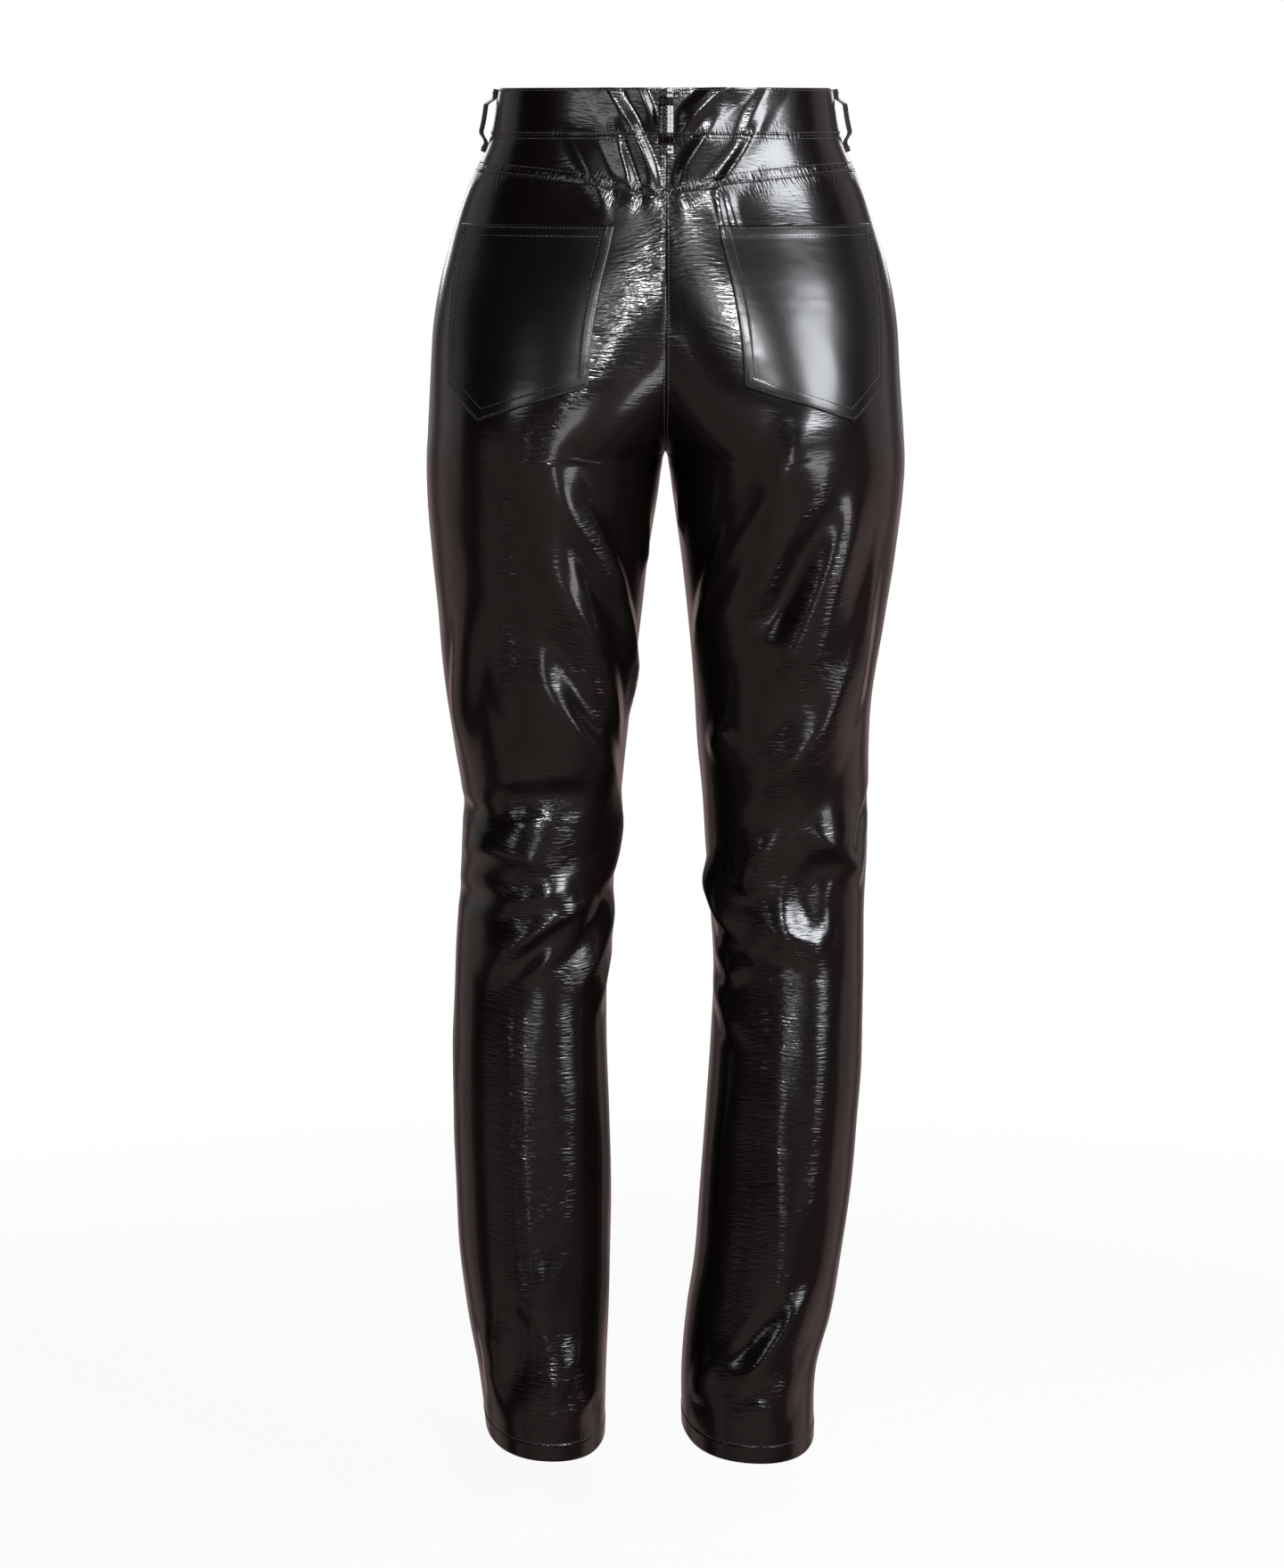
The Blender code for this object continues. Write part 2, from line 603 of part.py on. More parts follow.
def button() -> None:
    """A turned button on the waistband, on its shank."""
    profile = (
        (0.0, 3.6),
        (0.35, 3.6),
        (0.6, 3.9),
        (0.85, 4.1),
        (0.97, 3.8),
        (1.0, 3.2),
        (0.95, 2.6),
        (0.5, 2.2),
        (0.42, 0.3),
        (0.0, 0.3),
    )
    mesh = bpy.data.meshes.new("button")
    points = [(BUTTON_RADIUS * r * MM, 0, h * MM) for r, h in profile]
    mesh.from_pydata(points, [(n, n + 1) for n in range(len(points) - 1)], [])
    mesh.materials.append(finish("Button", (0.03, 0.03, 0.032), 0.25, 1.0))
    piece = bpy.data.objects.new("button", mesh)
    turn = piece.modifiers.new("Turned", "SCREW")
    turn.axis = "Z"
    turn.steps = turn.render_steps = 20
    turn.use_merge_vertices = True
    turn.merge_threshold = 0.00005
    at = np.zeros(1)
    angle = LEFT.angle_at(at, np.array([BUTTON_ACROSS]), -1)
    seat = LEFT.surface(at, angle, BAND_PROUD)[0]
    way_out = LEFT.surface(at, angle, BAND_PROUD + 1)[0] - seat
    piece.location = seat
    piece.rotation_euler = Vector(way_out).to_track_quat("Z", "Y").to_euler()
    collection.objects.link(piece)


for old in list(bpy.data.objects):
    bpy.data.objects.remove(old, do_unlink=True)
collection = bpy.data.collections.new("Vinyl trousers")
bpy.context.scene.collection.children.link(collection)

for one_side in (LEFT, RIGHT):
    waistband(one_side)
    yoke(one_side)
    back(one_side)
    front(one_side)
belt_loops()
button()
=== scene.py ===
"""The looks of the vinyl trousers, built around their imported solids.

Lengths are millimetres until a mesh is made; meshes are metres, +Z up, the front at -Y and +X the wearer's
left, as the solids are. The origin is the centre of the waist opening, at half the height of the waistband.

A place on the cloth is its height and its angle round the leg: 0 at the outer side, 90 at the back, 180 at
the inseam and -90 at the front. Above the crotch a ring reaches past the centre plane, where the other leg
cuts it off.
"""

import logging
import math
from dataclasses import dataclass, field
from enum import Enum
from typing import NamedTuple

import bpy
import numpy as np
from mathutils import Matrix, Vector

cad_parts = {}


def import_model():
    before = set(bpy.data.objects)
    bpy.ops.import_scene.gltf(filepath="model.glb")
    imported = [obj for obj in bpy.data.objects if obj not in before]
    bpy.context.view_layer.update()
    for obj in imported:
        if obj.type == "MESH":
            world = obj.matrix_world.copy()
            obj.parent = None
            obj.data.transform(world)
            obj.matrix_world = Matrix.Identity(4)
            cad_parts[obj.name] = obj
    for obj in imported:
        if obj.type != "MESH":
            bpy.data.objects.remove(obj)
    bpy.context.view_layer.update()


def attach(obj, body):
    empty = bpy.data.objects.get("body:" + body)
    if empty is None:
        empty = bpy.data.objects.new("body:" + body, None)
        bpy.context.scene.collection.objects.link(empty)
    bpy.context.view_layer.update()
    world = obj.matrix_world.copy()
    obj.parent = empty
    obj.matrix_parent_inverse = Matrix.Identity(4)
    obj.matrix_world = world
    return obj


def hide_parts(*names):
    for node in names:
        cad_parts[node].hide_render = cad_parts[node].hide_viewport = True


LOG = logging.getLogger("vinyl_trousers")
MM = 0.001
BODY = "root"

# Heights of the seams and edges
BAND_TOP = 17.5
BAND_SEAM = -17.5
YOKE_AT_BACK = -63.5
YOKE_AT_SIDE = -45.0
CROTCH = -259.0
HEM_MIDDLE = -1038.0
HEM_BACK_DROP = 7.0

# Cloth
PANEL_WALL = 1.5
BAND_WALL = 2.0
PATCH_WALL = 1.2
LOOP_WALL = 1.6
SEAM_GAP = 0.3
SEAM_LAP = SEAM_GAP + 0.25  # how far an inside runs on under the next piece
BAND_PROUD = 0.5
HEM_ALLOWANCE = 14.0
FLY_WIDTH = 36.0
CENTRE_ROW = 1.7
ROW_ENDS = 1.5

# Roundness of the rings: 2 is an oval, more is squarer
ROUNDNESS_LEG = 2.12
ROUNDNESS_WAIST_FRONT = 2.5
ROUNDNESS_WAIST_BACK = 2.25


class Face(Enum):
    """The two faces of a leg, by the sign of their angles."""

    BACK = 1
    FRONT = -1


class Slot(Enum):
    """The material slots, one for each finish."""

    PATENT = "patent_vinyl"
    SATIN = "satin_vinyl"
    THREAD = "thread"
    BACKING = "cloth_backing"
    METAL = "dark_metal"


class Ring(NamedTuple):
    """A level of one leg, measured from the centre plane: outside, deepest place, inside, front and back."""

    z: float
    outer: float
    middle: float
    inner: float
    front: float
    back: float


class SeamPlace(NamedTuple):
    """Where the outseam runs at a height: its angle towards the back."""

    z: float
    angle: float


class Fold(NamedTuple):
    """A ridge, or below zero a trough, through three places.

    Lean over 0 makes its inseam side steeper, and crisp goes from 0 for a round ridge to 1 for a pinched one.
    """

    z_from: float
    angle_from: float
    z_mid: float
    angle_mid: float
    z_to: float
    angle_to: float
    half_width: float
    height: float
    lean: float = 0.0
    crisp: float = 0.0


class Crinkle(NamedTuple):
    """A strip along a curve through three places where the coating is finely wrinkled."""

    z_from: float
    angle_from: float
    z_mid: float
    angle_mid: float
    z_to: float
    angle_to: float
    half_width: float
    depth: float


HIP_RINGS = (
    Ring(18, 127, 0, -127, -88, 88),
    Ring(-17, 133, 0, -133, -92, 91),
    Ring(-60, 152, 2, -150, -98, 96),
    Ring(-90, 162, 15, -136, -103, 103),
    Ring(-129, 173, 36, -108, -108, 114),
    Ring(-160, 178, 52, -83, -110, 121),
    Ring(-187, 180, 64.5, -61, -110, 126),
    Ring(-209, 181, 74, -42, -109, 129),
    Ring(-229, 182, 81.5, -26, -107, 129),
    Ring(-245, 183, 86.5, -12.5, -105, 127),
    Ring(-259, 184, 90, 0.4, -103, 124),
    Ring(-270, 184.3, 92, 2.8, -102, 121),
)
LEFT_LEG_RINGS = (
    Ring(-290, 184, 95, 5.5, -100, 115),
    Ring(-340, 180.5, 97, 13.5, -97, 103),
    Ring(-390, 176, 97.5, 19, -93, 93),
    Ring(-440, 171.5, 98, 25, -90, 85),
    Ring(-490, 164.5, 97.5, 30.5, -86, 77),
    Ring(-530, 158.5, 96.5, 34.5, -82, 69),
    Ring(-570, 159.5, 99, 38, -78, 62),
    Ring(-615, 162.5, 102, 42, -74, 58),
    Ring(-665, 165, 105, 45.5, -70, 60),
    Ring(-720, 167, 106.5, 46, -66, 65),
    Ring(-780, 167, 105.5, 44, -62, 69),
    Ring(-840, 165, 104, 42.5, -59, 72),
    Ring(-900, 162, 103, 43.5, -57, 75),
    Ring(-940, 157, 101, 44.5, -57, 77),
    Ring(-985, 149, 98, 46.5, -58, 80),
    Ring(-1045, 141.5, 95, 48, -60, 84),
)
RIGHT_LEG_RINGS = (
    Ring(-290, 183.5, 94.5, 5.5, -100, 115),
    Ring(-340, 178, 95, 12.5, -98, 102),
    Ring(-390, 170.5, 94, 18, -95, 91),
    Ring(-440, 163, 93, 22.5, -93, 82),
    Ring(-490, 160, 93, 25.5, -91, 73),
    Ring(-530, 160, 95, 29.5, -88, 65),
    Ring(-570, 159.5, 96, 32, -84, 58),
    Ring(-615, 157.5, 96.5, 35.5, -79, 54),
    Ring(-665, 157, 98, 38.5, -73, 57),
    Ring(-720, 156, 96, 36.5, -67, 63),
    Ring(-780, 153, 93, 32.5, -62, 69),
    Ring(-840, 147.5, 88, 28, -58, 74),
    Ring(-900, 139, 81, 23.5, -55, 78),
    Ring(-940, 132, 75, 17.5, -54, 81),
    Ring(-985, 120.5, 67, 13.5, -54, 85),
    Ring(-1045, 118.5, 66, 14, -55, 89),
)
LEFT_OUTSEAM = (SeamPlace(18, 0), SeamPlace(-200, -4), SeamPlace(-600, -6), SeamPlace(-1045, -4))
RIGHT_OUTSEAM = (
    SeamPlace(18, 0),
    SeamPlace(-90, 6),
    SeamPlace(-240, 20),
    SeamPlace(-325, 32),
    SeamPlace(-400, 20),
    SeamPlace(-470, 6),
    SeamPlace(-600, 2),
    SeamPlace(-1045, 0),
)

LEFT_FOLDS = (
    # waistband and yoke
    Fold(30, 71, 5, 79, -26, 88, 7, 2.2, 0.3, 1),
    Fold(0, 63, -36, 69, -78, 78, 9, 2.6, 0.3, 1),
    Fold(-4, 70, -36, 79, -78, 91, 8, 3.0, 0.4, 1),
    Fold(34, 54, 3, 65, -26, 78, 11, 2.4, 0.3, 1),
    Fold(-6, 48, -43, 59, -80, 74, 10, 2.0, -0.3, 1),
    # seat, then down the thigh
    Fold(-226, 82, -335, 106, -470, 172, 26, 11, 0.4, 1),
    Fold(-276, 97, -350, 119, -418, 146, 17, -6),
    Fold(-276, 102, -329, 119, -376, 138, 13, 4, 0.3, 1),
    Fold(-310, 82, -396, 105, -508, 146, 24, 10, 0.4, 1),
    Fold(-372, 92, -430, 108, -500, 128, 14, -3),
    Fold(-392, 80, -462, 98, -540, 158, 25, 9, 0.35, 1),
    Fold(-520, 146, -562, 160, -604, 122, 20, 5, 0.2, 1),
    Fold(-357, 56, -429, 45, -495, 29, 24, 4.5),
    Fold(-300, 150, -326, 158, -352, 168, 12, 2.5, 0, 1),
    Fold(-405, 158, -432, 163, -470, 170, 11, 2.2, 0, 1),
    # behind the knee
    Fold(-530, 50, -524, 87, -522, 122, 20, -6.5),
    Fold(-534, -16, -538, 38, -545, 84, 10, -3.5, 0, 0.7),
    Fold(-566, 4, -558, 68, -580, 106, 22, 9.5, -0.2, 1),
    Fold(-606, -14, -605, 40, -600, 86, 10, -4, 0, 0.7),
    Fold(-601, 40, -595, 80, -582, 116, 16, 6.5, -0.3, 1),
    Fold(-662, 46, -618, 91, -590, 136, 22, 10, -0.3, 1),
    Fold(-668, 74, -638, 98, -606, 130, 12, -5),
    Fold(-670, 82, -642, 104, -604, 140, 13, 5, 0.2, 1),
    Fold(-604, 184, -637, 151, -690, 120, 19, 6.5, 0, 1),
    Fold(-628, 186, -660, 160, -706, 140, 15, 4, 0.2, 1),
    # calf and ankle
    Fold(-665, 85, -798, 83, -932, 84, 20, 1.2),
    Fold(-667, 116, -772, 119, -876, 111, 26, 1.4, 0.2),
    Fold(-917, 61, -950, 78, -1015, 60, 17, -6),
    Fold(-940, 39, -965, 54, -1012, 43, 18, 4),
    Fold(-875, 98, -911, 91, -939, 83, 18, 3.2, 0.2, 1),
    Fold(-950, 128, -978, 108, -1006, 96, 16, 3.5, 0, 1),
    Fold(-985, 140, -1004, 122, -1018, 100, 13, 2.5, 0, 1),
    # front: out of the crotch, down the thigh, over the knee, shin and ankle
    Fold(-262, -160, -236, -112, -205, -62, 24, 7, 0.2, 0.5),
    Fold(-300, -168, -288, -122, -262, -72, 22, 6, 0.2, 0.5),
    Fold(-240, -150, -214, -116, -176, -84, 15, 3, 0, 1),
    Fold(-350, -62, -440, -92, -520, -138, 24, 6, 0.3, 1),
    Fold(-372, -80, -438, -104, -500, -146, 15, -4),
    Fold(-430, -18, -480, -48, -545, -80, 22, 5, 0, 1),
    Fold(-568, -26, -582, -78, -560, -140, 22, 6, 0.2, 1),
    Fold(-598, -40, -600, -86, -590, -134, 15, -4),
    Fold(-622, -34, -612, -90, -640, -150, 20, 5, 0, 1),
    Fold(-700, -70, -790, -96, -880, -82, 26, 4),
    Fold(-925, -18, -946, -78, -922, -146, 22, 7, 0.2, 1),
    Fold(-952, -40, -964, -80, -950, -120, 14, -3.5),
    Fold(-978, -160, -990, -104, -1010, -36, 19, 5, 0, 1),
)
RIGHT_FOLDS = (
    # waistband and yoke
    Fold(34, 40, 9, 65, -34, 90, 10, 3.6, 0.3, 1),
    Fold(32, 56, 11, 72, -12, 88, 7, 2.2, 0.2, 1),
    Fold(4, 58, -31, 75, -76, 92, 11, 3.4, 0.3, 1),
    Fold(4, 42, -33, 55, -76, 74, 9, 2.4, 0.4, 1),
    Fold(36, 34, 5, 47, -32, 58, 9, 2.0, 0.3, 1),
    Fold(-58, 69, -72, 71, -92, 75, 4, 1.1, 0, 1),
    Fold(-56, 65, -71, 66, -90, 69, 4, 1.0, 0, 1),
    # seat, then down the thigh
    Fold(-222, 74, -308, 98, -450, 162, 26, 9.5, 0.4, 1),
    Fold(-259, 96, -322, 113, -388, 141, 18, -5),
    Fold(-277, 72, -345, 89, -401, 101, 18, -7.5),
    Fold(-259, 74, -331, 94, -387, 107, 12, 3.5, 0, 1),
    Fold(-297, 68, -376, 83, -425, 97, 12, 3.5, 0, 1),
    Fold(-266, 62, -363, 77, -460, 92, 24, 8, -0.25, 1),
    Fold(-350, 58, -452, 64, -535, 116, 25, 9, 0.2, 1),
    Fold(-300, 46, -380, 49, -470, 47, 15, 3.5, 0, 1),
    Fold(-495, 145, -478, 133, -463, 124, 14, 4, 0, 1),
    Fold(-288, 152, -306, 160, -322, 168, 11, 2.2, 0, 1),
    # behind the knee
    Fold(-532, 78, -560, 53, -590, 20, 22, 9, 0.3, 1),
    Fold(-560, 36, -596, 79, -660, 60, 18, -4.5),
    Fold(-548, 90, -572, 112, -610, 124, 18, 6, 0, 1),
    Fold(-572, 166, -603, 149, -640, 120, 20, 8.5, 0.2, 1),
    Fold(-634, 167, -654, 142, -672, 126, 15, 4.5, 0.2, 1),
    Fold(-665, 180, -689, 142, -725, 130, 17, 4, 0.2, 1),
    Fold(-612, 126, -631, 88, -642, 56, 20, 7, 0, 1),
    Fold(-524, -10, -545, 26, -586, 50, 12, -4, 0, 0.6),
    # calf and ankle
    Fold(-597, 66, -736, 66, -877, 59, 24, 1.6),
    Fold(-740, 96, -800, 92, -880, 88, 16, 1.0, 0, 1),
    Fold(-791, 77, -889, 81, -911, 74, 15, 2.4, 0, 1),
    Fold(-902, 45, -946, 73, -994, 91, 19, 7, 0.3, 1),
    Fold(-917, 77, -945, 90, -974, 104, 15, -4.5),
    Fold(-964, 54, -996, 69, -1015, 88, 15, 4, 0.2, 1),
    Fold(-950, 108, -980, 124, -1006, 132, 15, 3, 0, 1),
    # front
    Fold(-258, -158, -240, -116, -214, -70, 24, 6, 0.2, 0.5),
    Fold(-292, -166, -282, -118, -252, -66, 22, 7, 0.2, 0.5),
    Fold(-236, -148, -206, -112, -168, -80, 14, 3, 0, 1),
    Fold(-372, -58, -448, -86, -530, -128, 24, 6, 0.3, 1),
    Fold(-392, -76, -452, -100, -514, -142, 15, -4),
    Fold(-410, -14, -470, -40, -540, -62, 22, 5, 0, 1),
    Fold(-574, -34, -562, -84, -584, -144, 22, 7, 0.2, 1),
    Fold(-596, -40, -598, -84, -602, -134, 15, -4),
    Fold(-618, -26, -634, -80, -616, -138, 21, 5, 0, 1),
    Fold(-690, -104, -780, -82, -872, -98, 26, 4),
    Fold(-918, -22, -938, -84, -928, -150, 22, 6, 0.2, 1),
    Fold(-950, -46, -956, -84, -962, -126, 14, -3.5),
    Fold(-984, -26, -974, -80, -1002, -150, 19, 6, 0, 1),
)
LEFT_CRINKLES = (
    Crinkle(-64, 102, -130, 100, -205, 96, 36, 0.45),
    Crinkle(-640, 98, -830, 98, -1030, 100, 62, 0.26),
    Crinkle(-530, 96, -580, 96, -640, 98, 50, 0.5),
    Crinkle(-270, 80, -380, 84, -520, 92, 40, 0.35),
    Crinkle(-200, 96, -232, 86, -262, 87, 9, 1.0),
    Crinkle(-259, 77, -355, 77, -455, 77, 9, 0.9),
    Crinkle(-300, 84, -360, 96, -440, 112, 8, 0.7),
    Crinkle(-285, 104, -340, 122, -400, 142, 8, 0.8),
    Crinkle(-352, 92, -410, 110, -492, 136, 10, 0.8),
    Crinkle(-540, 66, -534, 92, -548, 122, 20, 0.9),
    Crinkle(-572, 76, -582, 92, -596, 70, 14, 1.0),
    Crinkle(-560, 132, -572, 140, -590, 128, 18, 0.6),
    Crinkle(-655, 62, -622, 92, -600, 122, 12, 1.0),
    Crinkle(-650, 108, -664, 124, -640, 142, 16, 0.7),
    Crinkle(-670, 84, -800, 83, -960, 84, 9, 1.0),
    Crinkle(-672, 116, -770, 118, -880, 110, 16, 0.45),
    Crinkle(-940, 112, -980, 106, -1015, 110, 24, 0.8),
    Crinkle(-290, -140, -300, -100, -280, -70, 16, 0.7),
    Crinkle(-380, -70, -450, -96, -520, -130, 11, 0.8),
    Crinkle(-560, -50, -600, -90, -640, -120, 22, 0.8),
    Crinkle(-680, -84, -790, -92, -900, -86, 11, 0.9),
    Crinkle(-930, -60, -970, -90, -1010, -100, 20, 0.8),
)
RIGHT_CRINKLES = (
    Crinkle(-64, 102, -120, 98, -200, 98, 34, 0.12),
    Crinkle(-640, 92, -830, 90, -1030, 92, 62, 0.26),
    Crinkle(-530, 96, -580, 96, -640, 94, 50, 0.5),
    Crinkle(-300, 66, -400, 74, -530, 92, 40, 0.45),
    Crinkle(-262, 72, -330, 92, -392, 106, 6, 1.0),
    Crinkle(-300, 67, -376, 83, -430, 98, 6, 1.0),
    Crinkle(-300, 62, -380, 76, -470, 96, 14, 0.7),
    Crinkle(-400, 56, -470, 72, -530, 108, 16, 0.8),
    Crinkle(-556, 118, -590, 112, -602, 78, 18, 0.9),
    Crinkle(-616, 112, -636, 92, -650, 70, 16, 0.9),
    Crinkle(-655, 100, -690, 92, -740, 88, 14, 0.7),
    Crinkle(-610, 64, -740, 66, -880, 60, 12, 0.5),
    Crinkle(-740, 96, -800, 90, -930, 80, 8, 0.7),
    Crinkle(-960, 62, -990, 78, -1012, 98, 12, 0.9),
    Crinkle(-280, -142, -292, -104, -262, -72, 16, 0.7),
    Crinkle(-390, -62, -460, -90, -530, -124, 11, 0.8),
    Crinkle(-566, -56, -598, -84, -630, -122, 22, 0.8),
    Crinkle(-690, -96, -790, -84, -890, -96, 11, 0.9),
    Crinkle(-936, -56, -966, -88, -1004, -104, 20, 0.8),
)


def through(rows: tuple, column: str, z: np.ndarray) -> np.ndarray:
    """A smooth curve through one column of a table whose rows run downwards.

    Args:
        rows: the table's rows, each with a z.
        column: the column to read.
        z: heights to read it at.

    Returns:
        The column's value at each height.
    """
    heights = np.array([row.z for row in reversed(rows)], dtype=float)
    values = np.array([getattr(row, column) for row in reversed(rows)], dtype=float)
    slopes = np.gradient(values, heights)
    z = np.clip(z, heights[0], heights[-1])
    low = np.clip(np.searchsorted(heights, z) - 1, 0, len(heights) - 2)
    step = heights[low + 1] - heights[low]
    t = (z - heights[low]) / step
    start = (1 + 2 * t) * (1 - t) ** 2 * values[low] + t * (1 - t) ** 2 * step * slopes[low]
    end = t * t * (3 - 2 * t) * values[low + 1] + t * t * (t - 1) * step * slopes[low + 1]
    return start + end


def ease(start: float, end: float, value: np.ndarray) -> np.ndarray:
    """A smooth step.

    Args:
        start: where it leaves 0.
        end: where it reaches 1.
        value: places to read it at.

    Returns:
        0 to 1 for each place.
    """
    t = np.clip((value - start) / (end - start), 0, 1)
    return t * t * (3 - 2 * t)


def swell(places: tuple, value: np.ndarray) -> np.ndarray:
    """A smooth step up and one down again.

    Args:
        places: where it leaves 0, reaches 1, leaves 1 and is back at 0.
        value: places to read it at.

    Returns:
        0 to 1 for each place.
    """
    rise_from, rise_to, fall_from, fall_to = places
    return ease(rise_from, rise_to, value) * (1 - ease(fall_from, fall_to, value))


def bent(start: float, middle: float, end: float, t: np.ndarray) -> np.ndarray:
    """A curve from start through middle to end.

    Args:
        start: its value at share 0.
        middle: its value at share 0.5.
        end: its value at share 1.
        t: shares of the way.

    Returns:
        Its value at each share.
    """
    bend = 2 * middle - (start + end) / 2
    return (1 - t) ** 2 * start + 2 * t * (1 - t) * bend + t * t * end


def mottle(x: np.ndarray, y: np.ndarray, seed: int) -> np.ndarray:
    """Smooth seeded noise, one cell per unit.

    Args:
        x: places across.
        y: places down.
        seed: picks the pattern.

    Returns:
        Values from -1 to 1.
    """
    cells = 97
    lattice = np.random.default_rng(seed).uniform(-1, 1, (cells, cells))
    left, top = np.floor(x).astype(int), np.floor(y).astype(int)
    tx, ty = ease(0, 1, x - left), ease(0, 1, y - top)
    upper = lattice[top % cells, left % cells] * (1 - tx) + lattice[top % cells, (left + 1) % cells] * tx
    lower_row = (top + 1) % cells
    lower = lattice[lower_row, left % cells] * (1 - tx) + lattice[lower_row, (left + 1) % cells] * tx
    return upper * (1 - ty) + lower * ty


def stops(length: float, step: float, fine: float, reach: float) -> np.ndarray:
    """Places along a side of a grid, closer together near its two ends.

    Args:
        length: the side's length.
        step: the spacing away from the ends.
        fine: the spacing near the ends.
        reach: how far from an end the fine spacing goes.

    Returns:
        Shares of the length, from 0 to 1.
    """
    edge = np.arange(0, reach, fine)
    middle = np.linspace(reach, length - reach, max(2, math.ceil((length - 2 * reach) / step)))
    return np.concatenate([edge, middle, length - edge[::-1]]) / length


def unit(vectors: np.ndarray) -> np.ndarray:
    """The vectors at length 1."""
    return vectors / np.linalg.norm(vectors, axis=-1, keepdims=True)


def travelled(points: np.ndarray) -> np.ndarray:
    """How far each point lies from the first, along the array's first axis."""
    steps = np.linalg.norm(np.diff(points, axis=0), axis=-1)
    return np.concatenate([np.zeros_like(steps[:1]), np.cumsum(steps, axis=0)])


def read_along(places: np.ndarray, arc: np.ndarray, values: np.ndarray) -> np.ndarray:
    """Points or vectors of a line, read at distances from its start.

    Args:
        places: the distances.
        arc: how far along the line its own points lie.
        values: the points or vectors there.

    Returns:
        A point or vector for each place.
    """
    return np.stack([np.interp(places, arc, values[:, axis]) for axis in range(3)], -1)


def turned_mesh(name: str, profile: np.ndarray, sectors: int, closed: bool) -> bpy.types.Mesh:
    """A mesh turned from a profile round the Z axis, with a flat face in its first ring.

    Args:
        name: its name.
        profile: distances from the axis and heights, in metres.
        sectors: how many faces go round.
        closed: whether the last ring has a flat face too.

    Returns:
        The mesh.
    """
    turn = np.arange(sectors) * math.tau / sectors
    flat = profile[:, 0, None, None] * np.stack([np.cos(turn), np.sin(turn)], -1)
    high = np.repeat(profile[:, 1, None, None], sectors, axis=1)
    index = np.arange(len(profile) * sectors).reshape(-1, sectors)
    on = np.roll(index, -1, axis=1)
    walls = np.stack([index[:-1], index[1:], on[1:], on[:-1]], -1).reshape(-1, 4)
    ends = [index[0].tolist(), index[-1, ::-1].tolist()] if closed else [index[0].tolist()]
    mesh = bpy.data.meshes.new(name)
    mesh.from_pydata(np.concatenate([flat, high], -1).reshape(-1, 3).tolist(), [], walls.tolist() + ends)
    return mesh


def added(name: str, data: bpy.types.ID) -> bpy.types.Object:
    """A new object in the scene.

    Args:
        name: its name.
        data: its mesh, light or camera.

    Returns:
        The object.
    """
    thing = bpy.data.objects.new(name, data)
    bpy.context.scene.collection.objects.link(thing)
    return thing


def added_piece(name: str, mesh: bpy.types.Mesh) -> bpy.types.Object:
    """A new piece of the trousers in the scene.

    Args:
        name: its name.
        mesh: its mesh.

    Returns:
        The piece.
    """
    piece = added(name, mesh)
    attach(piece, BODY)
    return piece


